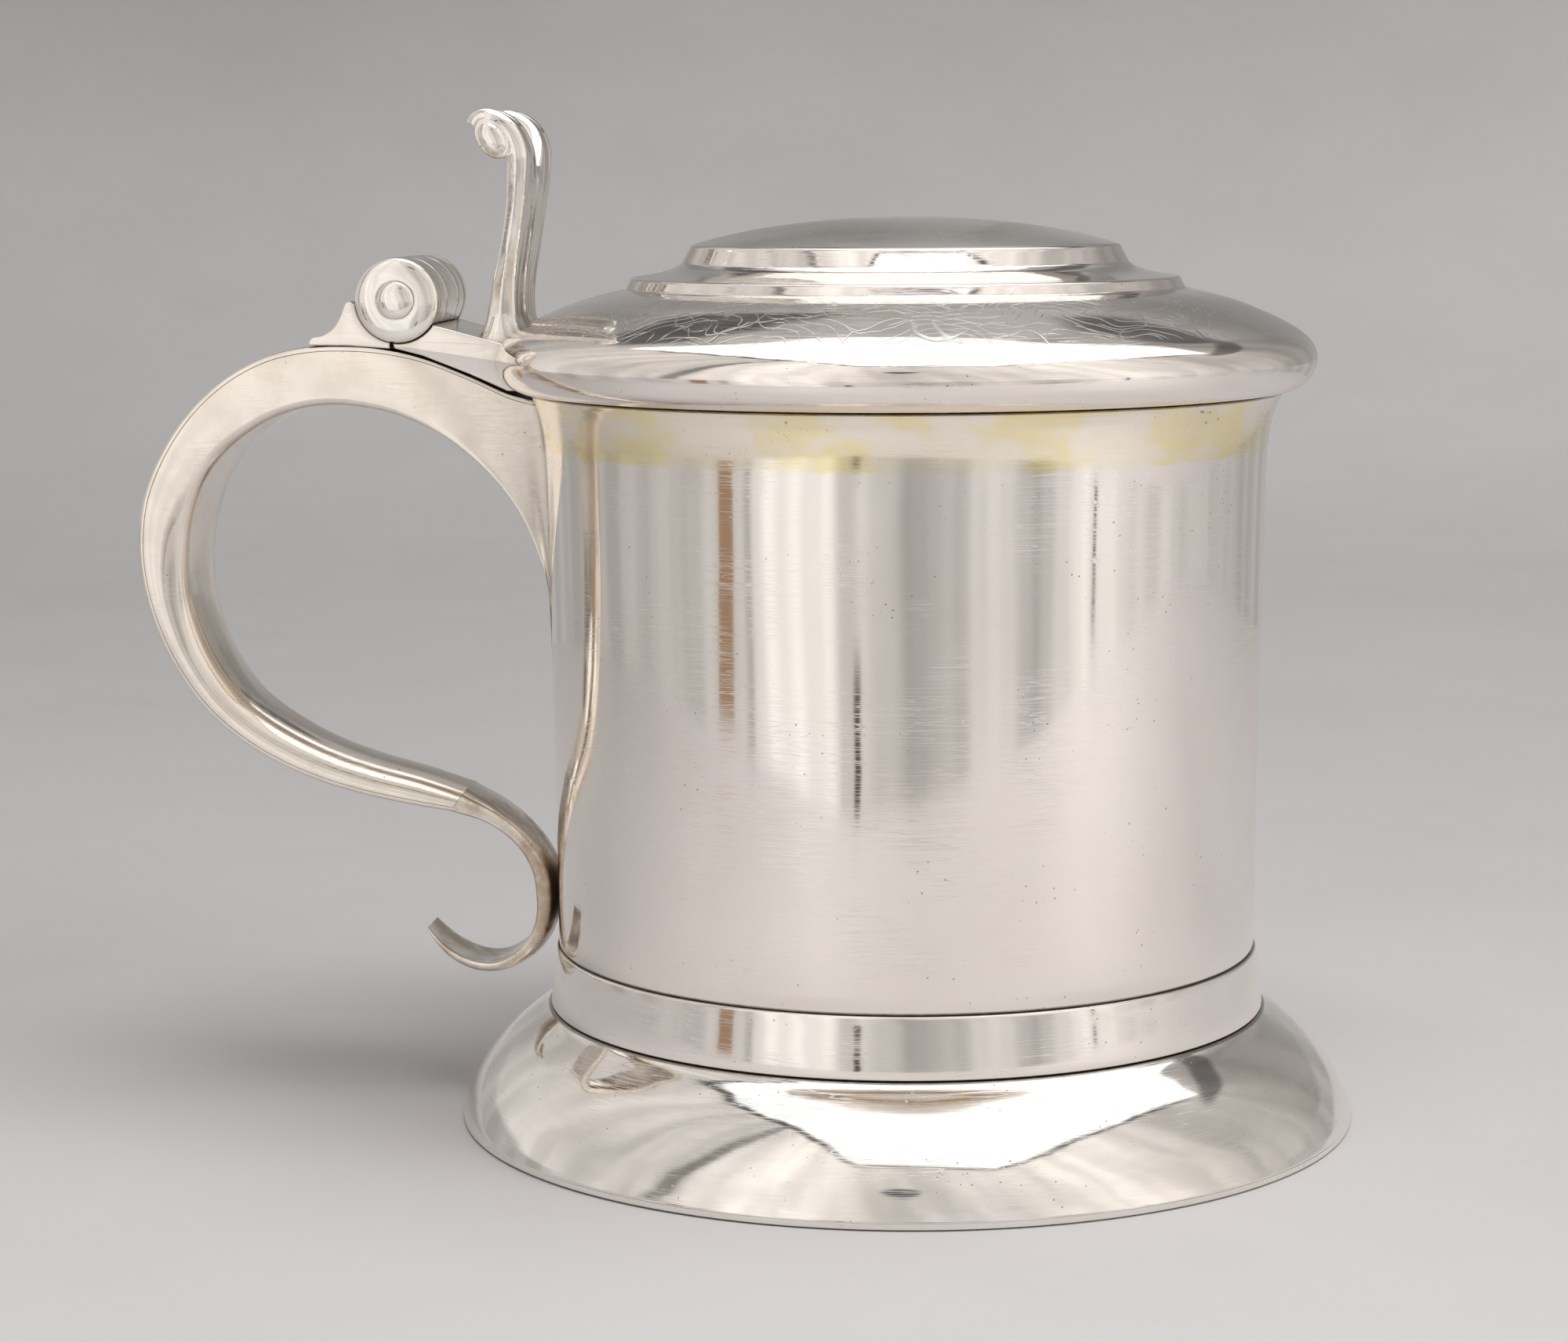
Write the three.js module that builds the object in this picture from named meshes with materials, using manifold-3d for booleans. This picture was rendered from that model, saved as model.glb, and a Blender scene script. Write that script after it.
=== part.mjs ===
// Lidded one-quart silver tankard: plain drum on a moulded foot, stepped lid with a
// bifurcated thumbpiece, box-and-barrel hinge and a hollow S-scroll handle.
// Millimetres, +Z up. The drum's axis is the Z axis and the foot stands on Z = 0; the
// handle lies along -X and the hinge pin lies along Y. The whole is then shifted along X,
// so that the origin is under the middle of the overall length.
import * as THREE from 'three';
import { mergeVertices } from 'three/addons/utils/BufferGeometryUtils.js';
import Module from 'manifold-3d';

// ---------------------------------------------------------------- driving dimensions
const GAP = 0.3;                 // seam between soldered or resting pieces
const SEG = 64;                  // facets round a turned piece

const FOOT_R = 74.5;             // foot radius where it stands
const FOOT_WIRE_H = 1.0;         // upright wire under the foot moulding
const BAND_Z0 = 18.9;            // lower edge of the plain base band
const BAND_Z1 = 28.7;            // upper edge of the plain base band
const BAND_R0 = 59.6;            // band radius at its lower edge
const BAND_R1 = 58.4;            // band radius at its upper edge
const DRUM_Z0 = 19.3;            // drum's lower edge, inside the band
const RIM_Z = 120.6;             // drum's rim
const FLOOR_Z = 21.7;            // top of the floor disc at its edge

const LID_EDGE_Z = 120.9;        // lower edge of the lid's rim
const LID_R = 67.2;              // greatest radius of the lid
const LID_TOP_Z = 148.8;         // crown of the lid
const BEZEL_R = 58.0;            // locating ring under the lid
const BEZEL_Z0 = 116.6;

const PIN_X = -82.1;             // hinge pin axis, along Y
const PIN_Z = 135.8;
const PIN_R = 1.8;
const BORE_R = 2.1;
const BARREL_R = 6.85;
const KNUCKLE_MID = 4.8;         // half length of the lid's knuckle
const KNUCKLE_END = 10.9;        // outer end of the handle's knuckles
const CAP_R = 6.95;              // domed caps on the barrel's ends
const CAP_END = 12.9;
const PIN_HEAD_R = 3.05;
const PIN_HEAD_END = 13.7;
const BLOCK_HALF_W = 12.4;       // half width of the hinge block
const VENT_R = 1.0;              // vent hole of the hollow hinge block

const STRAP_T = 1.4;             // outer strap of the handle
const HANDLE_SHEET = 1.2;        // gauge of the handle's channel
const LENGTH_MIN_X = -126.8;     // handle's furthest reach

// ---------------------------------------------------------------- materials
const silver = (color, roughness) =>
  new THREE.MeshStandardMaterial({ color, metalness: 1.0, roughness });

// ---------------------------------------------------------------- manifold helpers
const wasm = await Module();
wasm.setup();

function toSolid(geometry) {
  const g0 = geometry.clone();
  g0.deleteAttribute('normal');
  g0.deleteAttribute('uv');
  const g = mergeVertices(g0, 1e-4);
  const index = [];
  const src = g.index.array;
  for (let i = 0; i < src.length; i += 3) {
    const [a, b, c] = [src[i], src[i + 1], src[i + 2]];
    if (a !== b && b !== c && a !== c) index.push(a, b, c);
  }
  const mesh = new wasm.Mesh({
    numProp: 3,
    vertProperties: new Float32Array(g.attributes.position.array),
    triVerts: new Uint32Array(index),
  });
  return new wasm.Manifold(mesh);
}

function toGeometry(solid) {
  const m = solid.getMesh();
  const pos = new Float32Array(m.numVert * 3);
  for (let i = 0; i < m.numVert; i++) {
    pos[3 * i] = m.vertProperties[i * m.numProp];
    pos[3 * i + 1] = m.vertProperties[i * m.numProp + 1];
    pos[3 * i + 2] = m.vertProperties[i * m.numProp + 2];
  }
  const g = new THREE.BufferGeometry();
  g.setAttribute('position', new THREE.BufferAttribute(pos, 3));
  g.setIndex(new THREE.BufferAttribute(new Uint32Array(m.triVerts), 1));
  g.computeVertexNormals();
  return g;
}

const subtract = (a, ...others) =>
  toGeometry(others.reduce((s, o) => s.subtract(toSolid(o)), toSolid(a)));
const intersect = (a, b) => toGeometry(toSolid(a).intersect(toSolid(b)));

// ---------------------------------------------------------------- shape helpers
// turned piece: [radius, z] points, closed on itself or starting and ending on the axis
function turned(points, segments = SEG) {
  const g = new THREE.LatheGeometry(points.map(([r, z]) => new THREE.Vector2(r, z)), segments);
  g.rotateX(Math.PI / 2);
  return facingOut(g);
}

function facingOut(g) {
  const p = g.attributes.position;
  const idx = g.index ? g.index.array : [...Array(p.count).keys()];
  const a = new THREE.Vector3(), b = new THREE.Vector3(), c = new THREE.Vector3();
  let v = 0;
  for (let i = 0; i < idx.length; i += 3) {
    a.fromBufferAttribute(p, idx[i]);
    b.fromBufferAttribute(p, idx[i + 1]);
    c.fromBufferAttribute(p, idx[i + 2]);
    v += a.dot(b.cross(c)) / 6;
  }
  if (v < 0) {
    const flipped = Array.from(idx);
    for (let i = 0; i < flipped.length; i += 3) {
      [flipped[i + 1], flipped[i + 2]] = [flipped[i + 2], flipped[i + 1]];
    }
    g.setIndex(flipped);
  }
  return g;
}

// closed loop for a ring: outer points, then inner points, back to the start
const ring = (points) => turned([...points, points[0]]);

// outline in the XZ plane, extruded along Y from y0 to y1
function slab(points, y0, y1) {
  const shape = new THREE.Shape(points.map(([x, z]) => new THREE.Vector2(x, z)));
  const g = new THREE.ExtrudeGeometry(shape, { depth: y1 - y0, bevelEnabled: false });
  g.rotateX(Math.PI / 2);        // shape's y becomes +Z, depth runs along -Y
  g.translate(0, y1, 0);
  return facingOut(g);
}

// outline in the YZ plane, extruded along X from x0 to x1
function profileYZ(points, x0, x1) {
  const shape = new THREE.Shape(points.map(([y, z]) => new THREE.Vector2(y, z)));
  const g = new THREE.ExtrudeGeometry(shape, { depth: x1 - x0, bevelEnabled: false });
  g.rotateX(Math.PI / 2);
  g.rotateZ(Math.PI / 2);
  g.translate(x0, 0, 0);
  return facingOut(g);
}

// turned about an axis along Y through the hinge pin: [radius, y] points
function onPin(points, segments = 40) {
  const g = new THREE.LatheGeometry(points.map(([r, y]) => new THREE.Vector2(r, y)), segments);
  g.translate(PIN_X, 0, PIN_Z);
  return facingOut(g);
}

// points on the circle about the pin, angles in degrees from +X towards +Z
function pinArc(radius, from, to, n) {
  const out = [];
  for (let i = 0; i <= n; i++) {
    const t = THREE.MathUtils.degToRad(from + ((to - from) * i) / n);
    out.push([PIN_X + radius * Math.cos(t), PIN_Z + radius * Math.sin(t)]);
  }
  return out;
}

// Catmull-Rom through rows of numbers, n steps to each span
function smooth(rows, n) {
  const out = [];
  for (let i = 0; i < rows.length - 1; i++) {
    const p0 = rows[Math.max(i - 1, 0)], p1 = rows[i], p2 = rows[i + 1];
    const p3 = rows[Math.min(i + 2, rows.length - 1)];
    for (let k = 0; k < n; k++) {
      const t = k / n;
      out.push(p1.map((_, j) => 0.5 * (2 * p1[j] + (p2[j] - p0[j]) * t
        + (2 * p0[j] - 5 * p1[j] + 4 * p2[j] - p3[j]) * t * t
        + (3 * p1[j] - p0[j] - 3 * p2[j] + p3[j]) * t * t * t)));
    }
  }
  out.push(rows[rows.length - 1]);
  return out;
}

// whether one triangle of an outline runs clockwise
const isClockWiseFace = (outline, face) =>
  THREE.ShapeUtils.isClockWise(face.map((i) => outline[i]));

// body through a row of closed sections of [x, y, z] points, capped at both ends
function loft(sections, capShape) {
  const n = sections[0].length;
  const pos = sections.flat(2);
  const index = [];
  for (let s = 0; s < sections.length - 1; s++) {
    for (let i = 0; i < n; i++) {
      const j = (i + 1) % n;
      const a = s * n + i, b = s * n + j, c = (s + 1) * n + j, d = (s + 1) * n + i;
      index.push(a, b, c, a, c, d);
    }
  }
  const outline = capShape.map(([x, y]) => new THREE.Vector2(x, y));
  const faces = THREE.ShapeUtils.triangulateShape(outline, []);
  if (THREE.ShapeUtils.isClockWise(outline) !== isClockWiseFace(outline, faces[0])) {
    faces.forEach((f) => f.reverse());
  }
  const last = (sections.length - 1) * n;
  for (const [a, b, c] of faces) {
    index.push(a, c, b);
    index.push(last + a, last + b, last + c);
  }
  const g = new THREE.BufferGeometry();
  g.setAttribute('position', new THREE.BufferAttribute(new Float32Array(pos), 3));
  g.setIndex(index);
  return facingOut(g);
}

// ---------------------------------------------------------------- foot and drum
const footWire = ring([
  [FOOT_R, 0], [FOOT_R, FOOT_WIRE_H], [FOOT_R - 1.6, FOOT_WIRE_H], [FOOT_R - 1.6, 0],
]);

// ovolo moulding raised from sheet, hollow underneath
const footMoulding = ring([
  [74.3, 1.3], [73.7, 3.0], [71.9, 6.6], [69.3, 10.2], [66.1, 13.6], [62.9, 16.2],
  [59.5, 18.6], [57.6, 18.6], [57.6, 17.5], [62.1, 15.2], [68.2, 9.4], [70.9, 5.6],
  [72.5, 2.4], [72.9, 1.3],
]);

// plain base band: straight taper, a little proud of the drum
const baseBand = ring([
  [BAND_R0, BAND_Z0], [BAND_R0 - 0.35, BAND_Z0 + 3.2], [BAND_R1 + 0.35, BAND_Z1 - 3.0],
  [BAND_R1, BAND_Z1], [57.5, BAND_Z1], [57.5, BAND_Z0],
]);

// drum: nearly straight sides, gently flared lip
const drumOuter = [
  [57.2, DRUM_Z0], [57.2, BAND_Z1], [58.1, BAND_Z1 + 0.3], [58.2, 49.5], [59.0, 104.0],
  [59.4, 112.5], [60.3, 117.2], [61.3, 119.7], [61.8, RIM_Z],
];
const drumInner = [
  [60.9, RIM_Z], [60.2, 119.6], [59.0, 116.6], [58.2, 111.0], [57.9, 104.0],
  [57.1, 49.5], [56.9, 31.0], [56.1, 28.0], [56.1, DRUM_Z0],
];
const drum = ring([...drumOuter, ...drumInner]);

// floor disc, dished down a little in the middle
const floor = turned([
  [0, 19.4], [30, 19.7], [55.8, 20.5], [55.8, FLOOR_Z], [30, 20.9], [0, 20.6],
]);

// keep-clear body of the drum, for trimming the handle to it
const drumKeepOut = turned([
  [0, 10], ...drumOuter.map(([r, z]) => [r + GAP + 0.05, z]), [62.3, 125], [0, 125],
]);
const bandKeepOut = turned([
  [0, 10], [60.0, BAND_Z0], [59.5, BAND_Z0 + 4], [58.8, BAND_Z1 + 0.3], [0, BAND_Z1 + 0.3],
]);

// ---------------------------------------------------------------- lid
const lidOuter = [
  [0, LID_TOP_Z], [17, 147.9], [27, 146.3], [34.2, 144.5], [35.2, 143.9], [35.9, 142.0],
  [37.5, 140.1], [41.0, 138.7], [44.2, 138.25], [44.8, 137.7], [45.2, 136.5], [50.0, 135.7],
  [56.3, 134.1], [62.0, 131.65], [65.2, 129.6], [66.8, 127.4], [LID_R, 125.6], [66.6, 123.5],
  [65.2, 121.8], [63.6, 121.0], [62.5, LID_EDGE_Z],
];
const lidInner = [
  [61.5, LID_EDGE_Z], [62.4, 121.9], [65.4, 124.2], [66.0, 126.0], [65.3, 127.7],
  [61.3, 130.6], [53.9, 133.6], [45.2, 135.1], [43.7, 137.1], [38.9, 138.1], [35.6, 140.2],
  [34.2, 143.2], [24.8, 145.5], [0, 147.5],
];
const lidShell = turned([...lidOuter, ...lidInner]);

// locating ring: an upright band that drops inside the drum's lip, and a flat web
const bezel = ring([
  [BEZEL_R, BEZEL_Z0], [BEZEL_R, 121.2], [61.0, 121.2], [61.0, 122.2], [57.0, 122.2],
  [57.0, BEZEL_Z0],
]);

const lidKeepOut = turned([
  [0, 110], [62.8, 110], [62.8, 120.5], [64.2, 120.8], [65.7, 121.7], [67.15, 123.8], [67.55, 126.0],
  [66.8, 128.3], [65.0, 130.25], [62.15, 131.98], [58.4, 133.7], [54.3, 135.15],
  [50.0, 136.05], [46.2, 136.6], [0, 150],
]);

// ---------------------------------------------------------------- hinge
// hollow box that carries the lid's knuckle and the thumbpiece
const blockTop = [[-76.15, 131.75], [-65.6, 128.9], [-58.0, 126.9]];
const blockBottom = [[-58.0, 119.2], [-64.1, 121.75], [-70.3, 124.3], [-78.0, 127.05]];
const blockOutline = [
  ...pinArc(BARREL_R + GAP, -99, -35, 10), ...blockTop, ...blockBottom,
];
const blockHollow = slab([
  [-77.2, 128.2], [-75.2, 129.8], [-68.6, 127.9], [-68.6, 125.0], [-72.0, 126.3],
], -BLOCK_HALF_W + 1.3, BLOCK_HALF_W - 1.3);
const vent = new THREE.CylinderGeometry(VENT_R, VENT_R, 4, 16);
vent.translate(-72.3, -BLOCK_HALF_W, 127.6);
const hingeBlock = subtract(
  slab(blockOutline, -BLOCK_HALF_W, BLOCK_HALF_W), blockHollow, vent, lidKeepOut);

const knuckle = (y0, y1) => onPin([
  [BARREL_R, y0], [BARREL_R, y1], [BORE_R, y1], [BORE_R, y0], [BARREL_R, y0],
], 32);

const cap = (side) => onPin([
  [CAP_R, 11.2], [CAP_R, 11.8], [6.3, 12.3], [5.0, 12.7], [3.4, CAP_END], [BORE_R, CAP_END],
  [BORE_R, 11.2], [CAP_R, 11.2],
].map(([r, y]) => [r, side * y]), 28);

const pin = onPin([
  [0, -PIN_HEAD_END], [1.6, -PIN_HEAD_END + 0.12], [2.6, -PIN_HEAD_END + 0.32],
  [PIN_HEAD_R, -CAP_END - GAP], [PIN_R, -CAP_END - GAP],
  [PIN_R, CAP_END + GAP], [PIN_HEAD_R, CAP_END + GAP], [2.6, PIN_HEAD_END - 0.32],
  [1.6, PIN_HEAD_END - 0.12], [0, PIN_HEAD_END],
], 16);

// cusped seat on the handle that carries the two outer knuckles
const seatOutline = [
  [-97.0, 128.75], [-96.8, 129.3], [-94.6, 130.0], [-92.8, 131.3], [-91.6, 133.0],
  [-90.7, 135.0], [-89.5, 135.2],
  ...pinArc(BARREL_R + GAP, 186, 250, 9), [-84.9, 128.15], [-90.5, 128.55],
];
const hingeSeat = slab(seatOutline, -BLOCK_HALF_W, BLOCK_HALF_W);

// ---------------------------------------------------------------- handle
// each row: outer edge x, z; inner edge x, z; width
const handleRows = [
  [-55.0, 118.4, -51.0, 66.0, 21.6],
  [-59.5, 119.3, -57.0, 81.5, 21.8],
  [-64.1, 120.5, -58.6, 91.0, 22.6],
  [-70.3, 123.3, -63.2, 101.8, 23.4],
  [-78.0, 126.3, -72.2, 111.4, 24.2],
  [-84.5, 127.8, -81.6, 116.6, 24.6],
  [-90.5, 128.3, -89.6, 118.4, 24.6],
  [-97.0, 128.1, -96.2, 118.4, 24.4],
  [-104.1, 126.6, -102.4, 116.8, 24.0],
  [-110.9, 123.2, -107.6, 114.0, 23.6],
  [-117.2, 117.8, -112.4, 109.8, 23.2],
  [-122.1, 111.1, -115.6, 104.8, 22.9],
  [-125.4, 103.9, -117.3, 99.2, 22.7],
  [-126.7, 96.5, -118.0, 93.4, 22.5],
  [-126.3, 89.0, -117.8, 87.0, 22.0],
  [-124.3, 81.3, -116.1, 80.6, 21.2],
  [-121.2, 74.4, -113.4, 74.9, 20.2],
  [-117.2, 68.4, -109.8, 70.0, 19.2],
  [-112.6, 63.8, -105.8, 66.7, 18.4],
  [-106.4, 59.5, -100.4, 63.4, 17.6],
  [-99.1, 56.0, -94.6, 60.7, 16.8],
  [-91.4, 53.5, -88.2, 58.5, 16.0],
  [-83.3, 51.7, -80.6, 56.4, 15.2],
  [-75.9, 50.4, -73.4, 54.0, 14.4],
];
const tailRows = [
  [-75.3, 50.3, -72.9, 53.8, 14.3],
  [-69.7, 48.3, -67.4, 50.1, 13.6],
  [-65.2, 44.9, -63.0, 46.0, 13.0],
  [-62.5, 40.6, -60.1, 41.2, 12.6],
  [-61.7, 36.0, -58.8, 36.0, 12.6],
  [-61.9, 31.8, -59.2, 30.6, 12.6],
  [-63.3, 28.5, -61.0, 26.8, 12.6],
  [-65.8, 25.9, -64.4, 24.0, 12.6],
  [-69.0, 24.4, -68.4, 22.5, 12.4],
  [-72.6, 24.5, -73.0, 22.6, 12.0],
  [-76.6, 26.3, -77.4, 24.8, 11.2],
  [-79.4, 28.6, -80.0, 27.9, 9.6],
  [-80.6, 29.9, -81.0, 29.5, 7.0],
];

// a point d in from the outer edge and y across, at a row
function atRow([ox, oz, ix, iz], d, y) {
  const t = Math.hypot(ix - ox, iz - oz);
  return [ox + ((ix - ox) * d) / t, y, oz + ((iz - oz) * d) / t];
}
const depthOf = ([ox, oz, ix, iz]) => Math.hypot(ix - ox, iz - oz);

// U-shaped channel with rounded inner corners, open towards the strap
function channelSection(row) {
  const t = depthOf(row), w = row[4] / 2, s = HANDLE_SHEET;
  const r = Math.min(2.6, t * 0.32), d0 = STRAP_T + GAP;
  const k = 0.293 * r;
  const pts = [
    [d0, -w], [t - r, -w], [t - k, -w + k], [t, -w + r],
    [t, w - r], [t - k, w - k], [t - r, w], [d0, w],
    [d0, w - s], [t - r, w - s], [t - s - k * 0.4, w - s - k * 0.4], [t - s, w - r],
    [t - s, -w + r], [t - s - k * 0.4, -w + s + k * 0.4], [t - r, -w + s], [d0, -w + s],
  ];
  return pts.map(([d, y]) => atRow(row, d, y));
}
const channelCap = (() => {
  const w = 10, r = 2, t = 9, s = 1.2;
  return [
    [0, -w], [t - r, -w], [t - 0.6, -w + 0.6], [t, -w + r],
    [t, w - r], [t - 0.6, w - 0.6], [t - r, w], [0, w],
    [0, w - s], [t - r, w - s], [t - s - 0.3, w - s - 0.3], [t - s, w - r],
    [t - s, -w + r], [t - s - 0.3, -w + s + 0.3], [t - r, -w + s], [0, -w + s],
  ];
})();
const channelStations = smooth(handleRows, 2);
const channelRaw = loft(channelStations.map(channelSection), channelCap);
const handleChannel = subtract(channelRaw, drumKeepOut);

const strapSection = (row) => {
  const w = row[4] / 2;
  return [[0.35, -w], [0, -w + 0.5], [0, w - 0.5], [0.35, w], [STRAP_T, w], [STRAP_T, -w]]
    .map(([d, y]) => atRow(row, d, y));
};
const strapCap = [[0.35, -10], [0, -9.5], [0, 9.5], [0.35, 10], [1.4, 10], [1.4, -10]];
const handleStrap = subtract(loft(channelStations.map(strapSection), strapCap), drumKeepOut);

// solid tail: flat on its outer face, rounded on its back, curling up to a thin lip
const tailSection = (row) => {
  const t = depthOf(row), w = row[4] / 2;
  return [
    [0, -w], [0, -w * 0.5], [0, w * 0.5], [0, w], [t * 0.45, w], [t * 0.85, w * 0.72],
    [t, w * 0.35], [t, -w * 0.35], [t * 0.85, -w * 0.72], [t * 0.45, -w],
  ].map(([d, y]) => atRow(row, d, y));
};
const tailCap = [
  [0, -10], [-0.2, -5], [-0.2, 5], [0, 10], [1, 10], [2, 7], [2.4, 3.5], [2.4, -3.5], [2, -7],
  [1, -10],
];
const handleTail = subtract(
  loft(smooth(tailRows, 2).map(tailSection), tailCap), drumKeepOut, bandKeepOut);

// ---------------------------------------------------------------- thumbpiece
// side view: a stem that leans towards the lid, then rolls back over to the handle
const thumbSide = [
  [-60.5, 128.6], [-62.9, 131.2], [-63.6, 133.4], [-63.3, 139.1], [-62.7, 144.0],
  [-61.9, 149.5], [-61.3, 154.5], [-61.1, 158.0], [-61.6, 161.0], [-62.9, 163.8],
  [-64.7, 165.7], [-66.8, 166.3], [-68.8, 165.6], [-69.8, 164.0], [-69.5, 162.0],
  [-68.2, 160.3], [-66.2, 158.9], [-64.7, 158.1], [-63.8, 156.6], [-63.6, 154.5],
  [-63.9, 149.3], [-64.7, 143.8], [-65.9, 139.1], [-66.8, 135.1], [-67.6, 132.0],
  [-69.0, 130.3], [-69.2, 128.6],
];
// front view: widens upwards, and splits into two lobes
const thumbFront = [
  [-11.4, 128], [11.4, 128], [11.0, 132], [11.4, 138], [12.4, 145], [13.8, 152],
  [15.2, 158], [15.6, 161], [15.2, 164], [13.6, 167], [4.2, 167], [3.2, 162.5], [1.7, 156.5],
  [0, 151.5], [-1.7, 156.5], [-3.2, 162.5], [-4.2, 167], [-13.6, 167], [-15.2, 164],
  [-15.6, 161], [-15.2, 158], [-13.8, 152], [-12.4, 145], [-11.4, 138], [-11.0, 132],
];
const blockTopKeepOut = slab([
  [-80, 132.8 + 0.35], [-76.15, 132.1], [-65.6, 129.25], [-57.0, 126.95], [-57.0, 120], [-80, 120],
], -16, 16);
const thumbpiece = subtract(
  intersect(slab(thumbSide, -16, 16), profileYZ(thumbFront, -75, -55)),
  lidKeepOut, blockTopKeepOut);

// ---------------------------------------------------------------- assembly
const tankard = new THREE.Group();
tankard.position.x = (-LENGTH_MIN_X - FOOT_R) / 2;

function add(name, geometry, material) {
  const mesh = new THREE.Mesh(geometry, material);
  mesh.name = name;
  tankard.add(mesh);
}

add('foot_wire', footWire, silver(0xb9b4ad, 0.28));
add('foot_moulding', footMoulding, silver(0xd6d2cb, 0.12));
add('base_band', baseBand, silver(0xd8d4cc, 0.12));
add('floor_disc', floor, silver(0xbdb8b0, 0.3));
add('drum', drum, silver(0xdad6cf, 0.1));
add('lid_shell', lidShell, silver(0xd9d5ce, 0.1));
add('lid_bezel', bezel, silver(0xcfc8b4, 0.2));
add('hinge_block', hingeBlock, silver(0xcdc8c0, 0.2));
add('lid_knuckle', knuckle(-KNUCKLE_MID, KNUCKLE_MID), silver(0xc6c1b9, 0.2));
add('handle_knuckle_front', knuckle(-KNUCKLE_END, -KNUCKLE_MID - GAP), silver(0xc6c1b9, 0.2));
add('handle_knuckle_rear', knuckle(KNUCKLE_MID + GAP, KNUCKLE_END), silver(0xc6c1b9, 0.2));
add('barrel_cap_front', cap(-1), silver(0xd2cdc5, 0.15));
add('barrel_cap_rear', cap(1), silver(0xd2cdc5, 0.15));
add('hinge_pin', pin, silver(0xd2cdc5, 0.18));
add('hinge_seat', hingeSeat, silver(0xc9c3b8, 0.22));
add('thumbpiece', thumbpiece, silver(0xcbc6bd, 0.2));
add('handle_channel', handleChannel, silver(0xcfcac1, 0.16));
add('handle_strap', handleStrap, silver(0xcfcac1, 0.16));
add('handle_tail', handleTail, silver(0xb8afa2, 0.25));

export default tankard;
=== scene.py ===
import bpy, bmesh, math
import numpy as np
from mathutils import Matrix, Vector, noise


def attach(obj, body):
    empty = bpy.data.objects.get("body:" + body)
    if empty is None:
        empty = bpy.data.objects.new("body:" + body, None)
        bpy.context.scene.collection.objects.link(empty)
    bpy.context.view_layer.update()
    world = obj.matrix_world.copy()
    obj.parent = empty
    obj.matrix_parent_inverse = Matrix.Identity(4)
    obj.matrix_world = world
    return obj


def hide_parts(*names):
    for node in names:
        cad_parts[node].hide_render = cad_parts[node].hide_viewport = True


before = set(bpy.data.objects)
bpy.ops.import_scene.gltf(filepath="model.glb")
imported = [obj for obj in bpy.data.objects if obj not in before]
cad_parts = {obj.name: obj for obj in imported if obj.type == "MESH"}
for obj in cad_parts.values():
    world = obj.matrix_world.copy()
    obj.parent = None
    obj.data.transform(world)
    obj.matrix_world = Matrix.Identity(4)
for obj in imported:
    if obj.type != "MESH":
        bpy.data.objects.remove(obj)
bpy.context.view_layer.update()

# ------------------------------------------------------------------ frame and dimensions
# Points below are in millimetres about the drum's own axis; the row frame lies 26.15 mm
# further along -X, because its origin is under the middle of the overall length.
DX = 26.15
PIN = (-82.1, 135.8)
BARREL_R = 6.85
GAP = 0.3
HALF_W = 12.4


def row(p):
    return ((p[0] + DX) / 1000.0, p[1] / 1000.0, p[2] / 1000.0)


# ------------------------------------------------------------------ curves
def spline(points, n):
    """Catmull-Rom through points, n steps to each span."""
    pts = [np.array(p, float) for p in points]
    out = []
    for i in range(len(pts) - 1):
        p1, p2 = pts[i], pts[i + 1]
        p0 = pts[i - 1] if i else 2 * p1 - p2
        p3 = pts[i + 2] if i + 2 < len(pts) else 2 * p2 - p1
        # chord-length parameters keep the curve from overshooting where spans differ
        d0 = max(np.linalg.norm(p1 - p0), 1e-6) ** 0.5
        d1 = max(np.linalg.norm(p2 - p1), 1e-6) ** 0.5
        d2 = max(np.linalg.norm(p3 - p2), 1e-6) ** 0.5
        m1 = (p1 - p0) / d0 - (p2 - p0) / (d0 + d1) + (p2 - p1) / d1
        m2 = (p2 - p1) / d1 - (p3 - p1) / (d1 + d2) + (p3 - p2) / d2
        m1, m2 = m1 * d1, m2 * d1
        for k in range(n):
            t = k / n
            out.append(
                (2 * t**3 - 3 * t**2 + 1) * p1
                + (t**3 - 2 * t**2 + t) * m1
                + (-2 * t**3 + 3 * t**2) * p2
                + (t**3 - t**2) * m2
            )
    out.append(pts[-1])
    return out


def rounded(points, radii, n=5, closed=True):
    """Polygon with the corners in radii {index: radius} rounded off."""
    pts = [np.array(p, float) for p in points]
    out = []
    m = len(pts)
    for i, p in enumerate(pts):
        r = radii.get(i, 0)
        if not r or (not closed and i in (0, m - 1)):
            out.append(p)
            continue
        a, b = pts[i - 1], pts[(i + 1) % m]
        da, db = np.linalg.norm(a - p), np.linalg.norm(b - p)
        r = min(r, 0.48 * da, 0.48 * db)
        pa, pb = p + (a - p) * r / da, p + (b - p) * r / db
        for k in range(n + 1):
            t = k / n
            out.append((1 - t) ** 2 * pa + 2 * t * (1 - t) * p + t**2 * pb)
    return out


def corners(points, angle=28):
    """Indices of the polygon's corners that turn more than angle degrees."""
    out = []
    m = len(points)
    for i in range(m):
        a = np.array(points[i], float) - np.array(points[i - 1], float)
        b = np.array(points[(i + 1) % m], float) - np.array(points[i], float)
        c = float(np.dot(a, b) / (np.linalg.norm(a) * np.linalg.norm(b) + 1e-12))
        if math.degrees(math.acos(max(-1, min(1, c)))) > angle:
            out.append(i)
    return out


def lerp_table(table, x):
    xs = [t[0] for t in table]
    return float(np.interp(x, xs, [t[1] for t in table]))


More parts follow.
